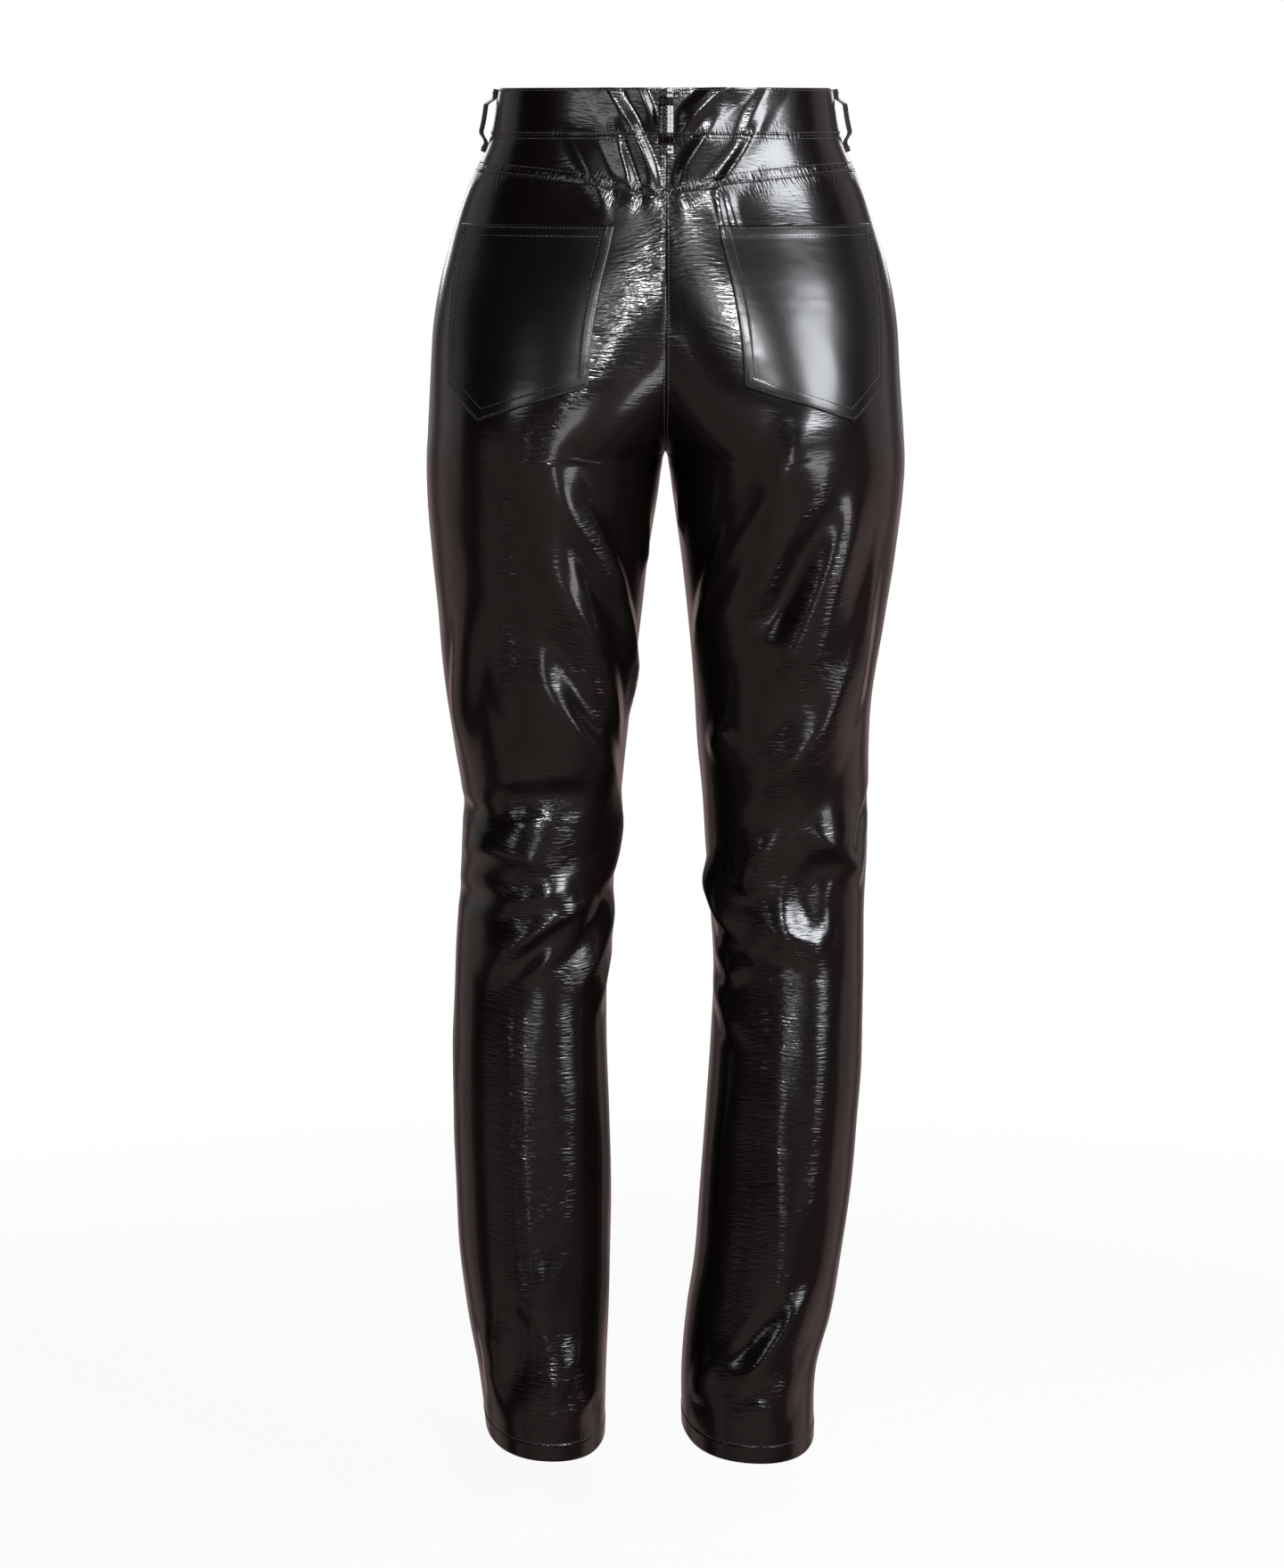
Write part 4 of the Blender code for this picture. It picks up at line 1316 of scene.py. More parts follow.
def make_finishes() -> Finishes:
    """Makes every finish once.

    Returns:
        A material for each slot.
    """
    patent = CoatedCloth(
        name="Patent vinyl",
        dark=(0.0028, 0.0016, 0.0016),
        light=(0.0066, 0.0040, 0.0037),
        roughness=(0.17, 0.28),
        coat=0.4,
        coat_roughness=0.09,
        wrinkle=0.34,
        least_wrinkle=0.13,
        grain=0.02,
    )
    satin = CoatedCloth(
        name="Satin vinyl",
        dark=(0.0030, 0.0018, 0.0018),
        light=(0.0062, 0.0042, 0.0040),
        roughness=(0.25, 0.31),
        coat=0.2,
        coat_roughness=0.15,
        wrinkle=0.025,
        least_wrinkle=0.12,
        grain=0.05,
        ior=1.5,
    )
    kinds = (patent, satin, ClothBacking(), Thread(), DarkMetal())
    slots = (Slot.PATENT, Slot.SATIN, Slot.BACKING, Slot.THREAD, Slot.METAL)
    return {slot: kind.make() for slot, kind in zip(slots, kinds)}


@dataclass
class ClothPiece:
    """A cut piece of cloth as a thin shell on a grid, its coated side out, in place of a CAD node."""

    node: str
    grid: Grid
    wall: float
    relief: np.ndarray
    inside_relief: np.ndarray | float = 0.0
    pucker: np.ndarray | float = 0.0
    seam_crinkle: np.ndarray | float = 0.0
    lap_round: np.ndarray | float = 0.0
    lap_down: np.ndarray | float = 0.0
    turned_up_rows: int = 0
    slot: Slot = Slot.PATENT
    held: str = "hung"
    rests_on: tuple = ()
    sharp_from: float = 65.0
    sag: float = 6.0
    sag_cell: tuple = (60.0, 80.0)
    sag_seed: int = 7
    outside: np.ndarray = field(init=False)

    def __post_init__(self) -> None:
        """Places the outside of the cloth."""
        self.outside = self.grid.points(self.relief)

    def faces(self) -> tuple[np.ndarray, int]:
        """The shell's faces: outside, inside and edge.

        Returns:
            The faces, and how many of them are on the outside.
        """
        rows, columns = self.grid.z.shape
        count = rows * columns
        index = np.arange(count).reshape(rows, columns)
        corners = [index[:-1, :-1], index[1:, :-1], index[1:, 1:], index[:-1, 1:]]
        quads = np.stack(corners, -1).reshape(-1, 4)
        border = np.concatenate([index[0, :-1], index[:-1, -1], index[-1, :0:-1], index[:0:-1, 0]])
        after = np.roll(border, -1)
        rim = np.stack([border, after, after + count, border + count], -1)
        faces = np.concatenate([quads, quads[:, ::-1] + count, rim])
        middle = rows // 2, columns // 2
        down = self.outside[middle[0] + 1, middle[1]] - self.outside[middle]
        on = self.outside[middle[0], middle[1] + 1] - self.outside[middle]
        if np.dot(np.cross(down, on), self.grid.normals(self.outside)[middle]) < 0:
            faces = faces[:, ::-1]
        return faces, len(quads)

    def build(self, finishes: Finishes) -> None:
        """Makes the shell.

        Args:
            finishes: the materials.
        """
        inside = self.grid.points(self.inside_relief - self.wall, self.lap_round, self.lap_down)
        faces, outer_count = self.faces()
        mesh = bpy.data.meshes.new(f"cloth_{self.node}")
        points = np.concatenate([self.outside.reshape(-1, 3), inside.reshape(-1, 3)]) * MM
        mesh.from_pydata(points.tolist(), [], faces.tolist())
        for slot in (self.slot, Slot.BACKING):
            mesh.materials.append(finishes[slot])
        rows, columns = self.grid.z.shape
        side = np.zeros(len(faces), dtype=np.int32)
        lined = (rows - 1 - self.turned_up_rows) * (columns - 1)
        side[outer_count : outer_count + lined] = 1
        if not self.turned_up_rows:  # a cut edge shows the backing, a turned-up one the coating
            side[2 * outer_count :] = 1
        mesh.polygons.foreach_set("material_index", side)
        mesh.shade_smooth()
        mesh.set_sharp_from_angle(angle=math.radians(self.sharp_from))
        self.write_cut(mesh)
        piece = added_piece(mesh.name, mesh)
        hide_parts(self.node)
        width, length, area = self.grid.flat_size()

    def write_cut(self, mesh: bpy.types.Mesh) -> None:
        """Stores where each point lies on the flat cut, and how wrinkled and puckered the coating is.

        Args:
            mesh: the shell's mesh.
        """
        form, z, angle = self.grid.form, self.grid.z, self.grid.angle
        arc = np.radians(angle) * form.radius(z)
        sag = self.sag * mottle(arc / self.sag_cell[0], z / self.sag_cell[1], form.seed + self.sag_seed)
        cut = np.stack([arc, -z + sag, np.zeros_like(arc)], -1).reshape(-1, 3) * MM
        depth = np.clip(form.crinkle_depth(z, angle) + self.seam_crinkle, 0, 1)
        pucker = np.broadcast_to(self.pucker, z.shape)
        attribute = mesh.attributes.new("cut", "FLOAT_VECTOR", "POINT")
        attribute.data.foreach_set("vector", np.tile(cut, (2, 1)).astype(np.float32).ravel())
        for name, values in (("crinkle", depth), ("pucker", pucker)):
            attribute = mesh.attributes.new(name, "FLOAT", "POINT")
            attribute.data.foreach_set("value", np.tile(values.ravel(), 2).astype(np.float32))


@dataclass
class Sewing:
    """Stitches on built pieces, gathered into one mesh."""

    name: str
    pitch: float = 2.7
    gap_share: float = 0.2
    radius: float = 0.38
    sides: int = 6
    bar_pitch: float = 0.55
    stitch_places: tuple = (-1, -0.55, 0, 0.55, 1)
    stitch_rise: tuple = (-0.7, 0.35, 0.6, 0.35, -0.7)
    bar_places: tuple = (-1, -0.6, 0, 0.6, 1)
    bar_rise: tuple = (-0.7, 0.5, 0.9, 0.5, -0.7)
    thickness: tuple = (0.4, 1, 1, 1, 0.4)
    stations: list = field(default_factory=list)
    ups: list = field(default_factory=list)

    def path(self, piece: ClothPiece, edge: Edge, inset: float) -> tuple[np.ndarray, np.ndarray]:
        """A line at a distance inside one edge of a piece.

        Args:
            piece: the piece.
            edge: its edge.
            inset: the distance.

        Returns:
            The line's points and the cloth's normals there.
        """
        points = edge.turned(piece.outside)
        normals = edge.turned(piece.grid.normals(piece.outside))
        gone = edge.turned(piece.grid.inset(edge))
        rows, columns = gone.shape
        place = np.array([np.interp(inset, gone[:, column], np.arange(rows)) for column in range(columns)])
        low = np.minimum(place.astype(int), rows - 2)
        share = (place - low)[:, None]
        column = np.arange(columns)
        line = points[low, column] * (1 - share) + points[low + 1, column] * share
        ups = normals[low, column] * (1 - share) + normals[low + 1, column] * share
        return line, ups

    def stitch(self, line: np.ndarray, ups: np.ndarray, start: float, end: float) -> None:
        """Sews along a line.

        Args:
            line: its points.
            ups: the cloth's normals along it.
            start: how far from its beginning the row starts.
            end: how far from its end the row stops.
        """
        arc = travelled(line)
        length = arc[-1] - start - end
        count = max(1, round(length / self.pitch))
        step = length / count
        middle = start + (np.arange(count) + 0.5) * step
        reach = step * (1 - self.gap_share) / 2
        places = middle[:, None] + reach * np.array(self.stitch_places)
        up = unit(read_along(places, arc, ups))
        rise = self.radius * np.array(self.stitch_rise)
        self.stations.append(read_along(places, arc, line) + up * rise[:, None])
        self.ups.append(up)

    def rows(self, piece: ClothPiece, rows: tuple) -> None:
        """Sews rows inside the edges of a piece.

        Args:
            piece: the piece.
            rows: its rows of stitches.
        """
        for row in rows:
            line, ups = self.path(piece, row.edge, row.inset)
            self.stitch(line, ups, row.start, row.end)

    def bars(self, piece: ClothPiece, bars: tuple) -> None:
        """Sews bar tacks: close stitches side by side.

        Args:
            piece: the piece.
            bars: its bar tacks.
        """
        for bar in bars:
            line, ups = self.path(piece, bar.edge, bar.inset)
            arc = travelled(line)
            begin = bar.at if bar.at >= 0 else arc[-1] + bar.at
            places = np.arange(begin, begin + bar.length, self.bar_pitch)
            centre = read_along(places, arc, line)
            up = unit(read_along(places, arc, ups))
            side = np.cross(up, unit(np.gradient(centre, axis=0)))
            across = bar.width / 2 * np.array(self.bar_places)
            rise = self.radius * np.array(self.bar_rise)
            points = centre[:, None] + side[:, None] * across[:, None] + up[:, None] * rise[:, None]
            self.stations.append(points)
            self.ups.append(np.repeat(up[:, None], len(rise), axis=1))

    def build(self, finishes: Finishes) -> None:
        """Makes every stitch into one piece.

        Args:
            finishes: the materials.
        """
        points = np.concatenate(self.stations)
        along = np.gradient(points, axis=1)
        side = unit(np.cross(along, np.concatenate(self.ups)))
        up = unit(np.cross(side, along))
        thickness = self.radius * np.array(self.thickness)
        turn = np.arange(self.sides) * math.tau / self.sides
        ring = np.cos(turn)[:, None] * side[:, :, None] + np.sin(turn)[:, None] * up[:, :, None]
        verts = points[:, :, None] + ring * thickness[:, None, None]
        count, rings = points.shape[:2]
        index = np.arange(count * rings * self.sides).reshape(count, rings, self.sides)
        on = np.roll(index, -1, axis=2)
        walls = np.stack([index[:, :-1], on[:, :-1], on[:, 1:], index[:, 1:]], -1).reshape(-1, 4)
        faces = walls.tolist() + index[:, 0, ::-1].tolist() + index[:, -1].tolist()
        mesh = bpy.data.meshes.new(self.name)
        mesh.from_pydata((verts.reshape(-1, 3) * MM).tolist(), [], faces)
        mesh.materials.append(finishes[Slot.THREAD])
        mesh.shade_smooth()
        added_piece(self.name, mesh)
        LOG.info("%s: %d stitches", self.name, count)


@dataclass
class Waistband:
    """Half of the waistband; the right half runs on as an underlap behind the button."""

    form: LegForm
    step: float = 1.6
    fine: float = 0.7
    edge_reach: float = 4.0
    overlap: float = 3.0
    underlap: float = 34.0
    underlap_ramp: float = 8.0
    rolls: tuple = (
        Roll(Edge.TOP, 0.2, 1.2),
        Roll(Edge.BOTTOM, 0.2, 1.4),
        Roll(Edge.OUTER, 0.2, 1.0),
        Roll(Edge.INNER, 0.2, 1.0),
    )
    rows: tuple = (Row(Edge.TOP, 1.8), Row(Edge.BOTTOM, 1.8))
    puckers: tuple = (Fade(Edge.TOP, 0.3, 4), Fade(Edge.BOTTOM, 0.5, 4))
    crinkle: float = 0.05

    def build(self, finishes: Finishes, sewing: Sewing) -> None:
        """Makes the half and sews its rows.

        Args:
            finishes: the materials.
            sewing: gathers its stitches.
        """
        at = np.zeros(1)
        back_end = self.form.inner_edge(at, Face.BACK)[0]
        if self.form.sign > 0:
            laps = self.form.angle_at(at, np.array([-self.overlap]), Face.FRONT)
            inward_at = np.zeros(1)
        else:
            foot = self.overlap + SEAM_GAP
            marks = np.array([foot + self.underlap_ramp, foot, 0.0, -self.underlap / 2, -self.underlap])
            laps = self.form.angle_at(np.zeros_like(marks), marks, Face.FRONT)
            inward_at = np.array([0.0, 1, 1, 1, 1]) * (BAND_WALL + SEAM_GAP)
        length = np.radians(back_end - laps[-1]) * self.form.radius(at)[0]
        shares = stops(length, self.step, self.fine, self.edge_reach)
        angles = back_end + (laps[-1] - back_end) * shares
        height = BAND_TOP - BAND_SEAM - SEAM_GAP / 2
        heights = BAND_TOP - height * stops(height, self.step, self.fine, self.edge_reach)
        levels, turns = np.meshgrid(heights, angles, indexing="ij")
        inward = np.interp(turns, laps[::-1], inward_at[::-1])
        grid = Grid(self.form, levels, turns)
        piece = ClothPiece(
            node=f"waistband_{self.form.name}",
            grid=grid,
            wall=BAND_WALL,
            relief=BAND_PROUD - inward + grid.rolls(self.rolls) + grid.grooves(self.rows),
            inside_relief=BAND_PROUD - inward,
            pucker=grid.fades(self.puckers),
            seam_crinkle=self.crinkle,
            lap_round=grid.lap(Edge.OUTER, self.form.sign > 0),
            lap_down=grid.lap(Edge.BOTTOM, 1),
            held="stretched",
        )
        piece.build(finishes)
        sewing.rows(piece, self.rows)


@dataclass
class Yoke:
    """The shaped band between the waistband and a back panel."""

    form: LegForm
    height: float = 46.0
    width: float = 160.0
    step: float = 1.7
    step_across: float = 2.04
    fine: float = 0.7
    edge_reach: float = 9.0
    side_reach: float = 4.0
    rolls: tuple = (
        Roll(Edge.TOP, 0.1, 1.2),
        Roll(Edge.BOTTOM, 0.15, 1.2),
        Roll(Edge.INNER, 0.15, 1.3),
        Roll(Edge.OUTER, 0.15, 1.3),
    )
    rows: tuple = (Row(Edge.TOP, 2.5), Row(Edge.BOTTOM, 1.5), Row(Edge.BOTTOM, 7.5))
    puckers: tuple = (Fade(Edge.TOP, 0.4, 5), Fade(Edge.BOTTOM, 0.8, 3, 4.5))
    crinkle: float = 0.05
    crinkles: tuple = (Fade(Edge.INNER, 0.4, 6),)
    allowance: tuple = (0.15, 6.6, 9.4)

    def build(self, finishes: Finishes, sewing: Sewing) -> None:
        """Makes the yoke and sews its rows.

        Args:
            finishes: the materials.
            sewing: gathers its stitches.
        """
        drop = stops(self.height, self.step, self.fine, self.edge_reach)[:, None]
        across = stops(self.width, self.step_across, self.fine, self.side_reach)[None, :]
        top = BAND_SEAM - SEAM_GAP / 2
        levels = top + (self.form.yoke_seam(across) + SEAM_GAP / 2 - top) * drop
        grid = Grid(self.form, levels, self.form.angle_across(levels, across, Face.BACK))
        relief = grid.rolls(self.rolls) + grid.grooves((*self.rows, Row(Edge.INNER, CENTRE_ROW)))
        piece = ClothPiece(
            node=f"yoke_{self.form.name}",
            grid=grid,
            wall=PANEL_WALL,
            relief=relief + over_allowance(grid.inset(Edge.BOTTOM), *self.allowance),
            pucker=grid.fades(self.puckers),
            seam_crinkle=self.crinkle + grid.fades(self.crinkles),
            lap_round=grid.lap(Edge.INNER, self.form.sign > 0),
            lap_down=grid.lap(Edge.BOTTOM, 1),
        )
        piece.build(finishes)
        sewing.rows(piece, self.rows)


@dataclass
class LegPanel:
    """A back or front panel, from its top seam to the turned-up hem."""

    form: LegForm
    face: Face
    step: float = 2.8
    fine: float = 0.6
    seam_reach: float = 3.0
    width: float = 225.0
    hem_row: float = HEM_ALLOWANCE
    hem_thickness: float = 0.7
    hem_rise: float = 0.4
    hem_groove: tuple = (0.2, 0.9)
    hem_blend: tuple = (HEM_ALLOWANCE - 1.5, HEM_ALLOWANCE + 1.0)
    hem_fold: tuple = (0.7, 1.6)
    clear_of_hem: float = 3.0
    rolls: tuple = (
        Roll(Edge.TOP, 0.12, 1.3),
        Roll(Edge.OUTER, 0.12, 1.3),
        Roll(Edge.INNER, 0.12, 1.3),
        Roll(Edge.BOTTOM, 0.9, 1.6),
    )
    puckers: tuple = (Fade(Edge.TOP, 0.7, 7), Fade(Edge.BOTTOM, 0.5, 5, HEM_ALLOWANCE))
    crinkles: tuple = (Fade(Edge.INNER, 0.3, 7), Fade(Edge.OUTER, 0.2, 6))

    def grid(self) -> Grid:
        """The panel's grid, with a row at the crotch.

        Returns:
            The grid.
        """
        across = stops(self.width, self.step, self.fine, self.seam_reach)[None, :]
        if self.face is Face.BACK:
            top = self.form.yoke_seam(across) - SEAM_GAP / 2
        else:
            top = np.full(across.shape, BAND_SEAM - SEAM_GAP / 2)
        above = np.arange(0, self.seam_reach, self.fine)
        rise = top.mean() - CROTCH
        hips = np.concatenate([above, np.linspace(self.seam_reach, rise, round(rise / self.step))])
        upper = top + (CROTCH - top) * (hips / hips[-1])[:, None]
        hem = self.form.hem(self.face.value * 180 * across)
        length = CROTCH - HEM_MIDDLE
        start = self.hem_row + self.clear_of_hem
        leg = stops(length, self.step, self.fine, start)
        leg = np.concatenate([np.arange(self.step, start, self.step) / length, leg[leg > start / length]])
        lower = CROTCH + (hem - CROTCH) * leg[:, None]
        levels = np.concatenate([upper, lower])
        return Grid(self.form, levels, self.form.angle_across(levels, across, self.face))

    def build(self, finishes: Finishes, seam_sewing: Sewing, hem_sewing: Sewing) -> None:
        """Makes the panel and sews its seam and hem.

        Args:
            finishes: the materials.
            seam_sewing: gathers the centre seam's stitches.
            hem_sewing: gathers the hem's stitches.
        """
        grid = self.grid()
        from_hem = grid.inset(Edge.BOTTOM)
        in_hem = 1 - ease(*self.hem_blend, from_hem)
        on_seat = grid.z > CROTCH
        relief = grid.rolls(self.rolls) + groove(from_hem, self.hem_row, *self.hem_groove)
        relief += self.hem_rise * in_hem + np.where(on_seat, groove(grid.inset(Edge.INNER), CENTRE_ROW), 0)
        is_front = self.face is Face.FRONT
        inner_lap = np.where(on_seat[:, -1], self.form.sign > 0, is_front) * self.face.value
        piece = ClothPiece(
            node=f"{self.face.name.lower()}_{self.form.name}",
            grid=grid,
            wall=PANEL_WALL,
            relief=relief,
            inside_relief=-self.hem_thickness * in_hem - rolled(from_hem, *self.hem_fold),
            pucker=grid.fades(self.puckers),
            seam_crinkle=grid.fades(self.crinkles),
            lap_round=grid.lap(Edge.OUTER, is_front) + grid.lap(Edge.INNER, inner_lap),
            turned_up_rows=len(grid.z) - int(np.argmax(from_hem[:, 0] < self.hem_row)),
        )
        piece.build(finishes)
        line, ups = seam_sewing.path(piece, Edge.INNER, CENTRE_ROW)
        seat = line[:, 2] > CROTCH
        seam_sewing.stitch(line[seat], ups[seat], ROW_ENDS, ROW_ENDS)
        hem_sewing.rows(piece, (Row(Edge.BOTTOM, self.hem_row),))


@dataclass
class PatchPocket:
    """A five-cornered patch pocket on a back panel."""

    form: LegForm
    top: float = -84.0
    side_bottom: float = -202.0
    tip: float = -229.0
    tip_at: float = 0.375
    outer_top: float = 153.0
    outer_bottom: float = 163.0
    inner_top: float = 38.5
    inner_bottom: float = 58.0
    step: float = 1.5
    fine: float = 0.75
    edge_reach: float = 11.0
    side_rows: tuple = (1.9, 8.6)
    top_rows: tuple = (Row(Edge.TOP, 2.5), Row(Edge.TOP, 9.0, 10, 10))
    bars: tuple = (
        Bar(Edge.OUTER, 5.0, 1.2, 7.5),
        Bar(Edge.INNER, 5.0, 1.2, 7.5),
        Bar(Edge.INNER, 5.0, -14.0, 7.0),
    )
    slant: float = 1.18  # how much longer the way from the pointed foot is along the grid than square to it
    edge_drop: float = 0.45
    edge_round: float = 1.0
    side_allowance: tuple = (0.18, 7.0, 10.0)
    top_allowance: tuple = (0.25, 7.6, 10.6)
    puckers: tuple = (Fade(Edge.TOP, 0.7, 4, 6),)
    foot_pucker: float = 0.5
    foot_pucker_reach: float = 5.0
    crinkles: tuple = (Fade(Edge.INNER, 0.6, 7), Fade(Edge.OUTER, 0.4, 6))
    pocket_height: float = 130.0
    pocket_width: float = 115.0

    def grid(self) -> Grid:
        """The pocket's grid, whose edges are the pocket's.

        Returns:
            The grid.
        """
        down = stops(self.pocket_height, self.step, self.fine, self.edge_reach)[:, None]
        across = stops(self.pocket_width, self.step, self.fine, self.edge_reach)[None, :]
        bottom = np.interp(across, (0, self.tip_at, 1), (self.side_bottom, self.tip, self.side_bottom))
        levels = self.top + (bottom - self.top) * down
        level = np.clip((levels - self.top) / (self.side_bottom - self.top), 0, 1)
        sides = []
        for reach in ((self.outer_top, self.outer_bottom), (self.inner_top, self.inner_bottom)):
            heights = np.array([self.top, self.side_bottom])
            corners = self.form.angle_at(heights, np.array(reach), Face.BACK)
            sides.append(corners[0] + (corners[1] - corners[0]) * level)
        return Grid(self.form, levels, sides[0] + (sides[1] - sides[0]) * across)

    def build(self, finishes: Finishes, sewing: Sewing) -> None:
        """Makes the pocket and sews it on.

        Args:
            finishes: the materials.
            sewing: gathers its stitches.
        """
        grid = self.grid()
        top, outer, inner = (grid.inset(edge) for edge in (Edge.TOP, Edge.OUTER, Edge.INNER))
        foot = grid.inset(Edge.BOTTOM) / self.slant
        nearest = np.minimum.reduce([outer, inner, foot])
        relief = SEAM_GAP + PATCH_WALL + grid.grooves(self.top_rows)
        for distance, allowance in ((nearest, self.side_allowance), (top, self.top_allowance)):
            relief += rolled(distance, self.edge_drop, self.edge_round) + over_allowance(distance, *allowance)
        for inset in self.side_rows:
            relief += groove(nearest, inset)
        piece = ClothPiece(
            node=f"pocket_{self.form.name}",
            grid=grid,
            wall=PATCH_WALL,
            relief=relief,
            inside_relief=SEAM_GAP + PATCH_WALL,
            pucker=grid.fades(self.puckers) + self.foot_pucker * np.exp(-foot / self.foot_pucker_reach),
            seam_crinkle=grid.fades(self.crinkles),
            slot=Slot.SATIN,
            rests_on=(f"cloth_back_{self.form.name}",),
        )
        piece.build(finishes)
        for inset in self.side_rows:
            slanted = inset * self.slant
            sides = Row(Edge.OUTER, inset, end=slanted), Row(Edge.INNER, inset, end=slanted)
            sewing.rows(piece, (*sides, Row(Edge.BOTTOM, slanted, inset, inset)))
        sewing.rows(piece, self.top_rows)
        sewing.bars(piece, self.bars)


@dataclass
class Fly:
    """The facing strip over the closure, curved at its foot."""

    form: LegForm
    straight_to: float = -150.0
    foot: float = 34.0
    step: float = 1.8
    fine: float = 0.8
    edge_reach: float = 4.0
    height: float = 150.0
    rows: tuple = (1.6, 7.4)
    slant: float = 1.3  # as for a pocket
    edge_drop: float = 0.6
    edge_round: float = 1.2
    puckers: tuple = (Fade(Edge.TOP, 0.5, 5),)
    crinkle: float = 0.3
    edge_crinkle: float = 0.4
    edge_crinkle_reach: float = 5.0
    bars: tuple = (Bar(Edge.BOTTOM, 6.0, -8.0, 6.5),)

    def build(self, finishes: Finishes, sewing: Sewing) -> None:
        """Makes the strip and sews its curved double row.

        Args:
            finishes: the materials.
            sewing: gathers its stitches.
        """
        share = stops(FLY_WIDTH, self.step, self.fine, self.edge_reach)[None, :]
        down = stops(self.height, self.step, self.fine, self.edge_reach)[:, None]
        top = BAND_SEAM - SEAM_GAP / 2
        bottom = self.straight_to - self.foot * np.sqrt(1 - (1 - share) ** 2)
        levels = top + (bottom - top) * down
        edge = self.form.angle_at(levels, np.full_like(levels, FLY_WIDTH), Face.FRONT)
        centre = self.form.inner_edge(levels, Face.FRONT)
        grid = Grid(self.form, levels, edge + (centre - edge) * share)
        nearest = np.minimum(grid.inset(Edge.OUTER), grid.inset(Edge.BOTTOM) / self.slant)
        relief = SEAM_GAP + PATCH_WALL + rolled(nearest, self.edge_drop, self.edge_round)
        relief += rolled(grid.inset(Edge.INNER), self.edge_drop, self.edge_round)
        for inset in self.rows:
            relief += groove(nearest, inset)
        piece = ClothPiece(
            node="fly",
            grid=grid,
            wall=PATCH_WALL,
            relief=relief,
            inside_relief=SEAM_GAP + PATCH_WALL,
            pucker=grid.fades(self.puckers),
            seam_crinkle=self.crinkle + self.edge_crinkle * np.exp(-nearest / self.edge_crinkle_reach),
            rests_on=("cloth_front_left",),
        )
        piece.build(finishes)
        for inset in self.rows:
            sewing.rows(piece, (Row(Edge.OUTER, inset), Row(Edge.BOTTOM, inset * self.slant, inset)))
        sewing.bars(piece, self.bars)


@dataclass
class BeltLoop:
    """A strip over the waistband, bowed out between its two feet."""

    node: str
    form: LegForm
    angle: float
    bow: float = 6.0
    width: float = 12.0
    top: float = 16.5
    bottom: float = -31.0
    foot: float = 6.0
    bend: float = 7.0
    crown: float = 1.8
    crinkle: float = 0.25
    seat_blend: float = 1.0
    edge_drop: float = 0.3
    edge_round: float = 1.0
    rows: tuple = (Row(Edge.OUTER, 2.4, 1.0, 1.0), Row(Edge.INNER, 2.4, 1.0, 1.0))
    bars: tuple = (Bar(Edge.TOP, 3.0, 2.0, 8.0), Bar(Edge.BOTTOM, 3.0, 2.0, 8.0))
    step: float = 0.9

    def build(self, finishes: Finishes, sewing: Sewing) -> None:
        """Makes the loop and sews its edges and feet.

        Args:
            finishes: the materials.
            sewing: gathers its stitches.
        """
        upper_foot, lower_foot = self.top - self.foot, self.bottom + self.foot
        heights = np.linspace(self.top, self.bottom, round((self.top - self.bottom) / self.step) + 1)
        half_turn = np.degrees(self.width / 2 / self.form.radius(np.zeros(1))[0])
        turns = np.linspace(self.angle - half_turn, self.angle + half_turn, round(self.width / self.step) + 1)
        levels, turns = np.meshgrid(heights, turns, indexing="ij")
        grid = Grid(self.form, levels, turns)
        rise = ease(upper_foot, upper_foot - self.bend, levels)
        fall = 1 - ease(lower_foot + self.bend, lower_foot, levels)
        seat = BAND_PROUD * ease(BAND_SEAM - self.seat_blend, BAND_SEAM + self.seat_blend, levels)
        stand = seat + SEAM_GAP + LOOP_WALL + self.bow * rise * fall
        from_edge = np.minimum(grid.inset(Edge.OUTER), grid.inset(Edge.INNER))
        stand += self.crown * ease(0, self.width / 2, from_edge)
        piece = ClothPiece(
            node=self.node,
            grid=grid,
            wall=LOOP_WALL,
            relief=stand + rolled(from_edge, self.edge_drop, self.edge_round),
            inside_relief=stand,
            seam_crinkle=self.crinkle,
            held="stretched",
        )
        piece.build(finishes)
        sewing.rows(piece, self.rows)
        sewing.bars(piece, self.bars)


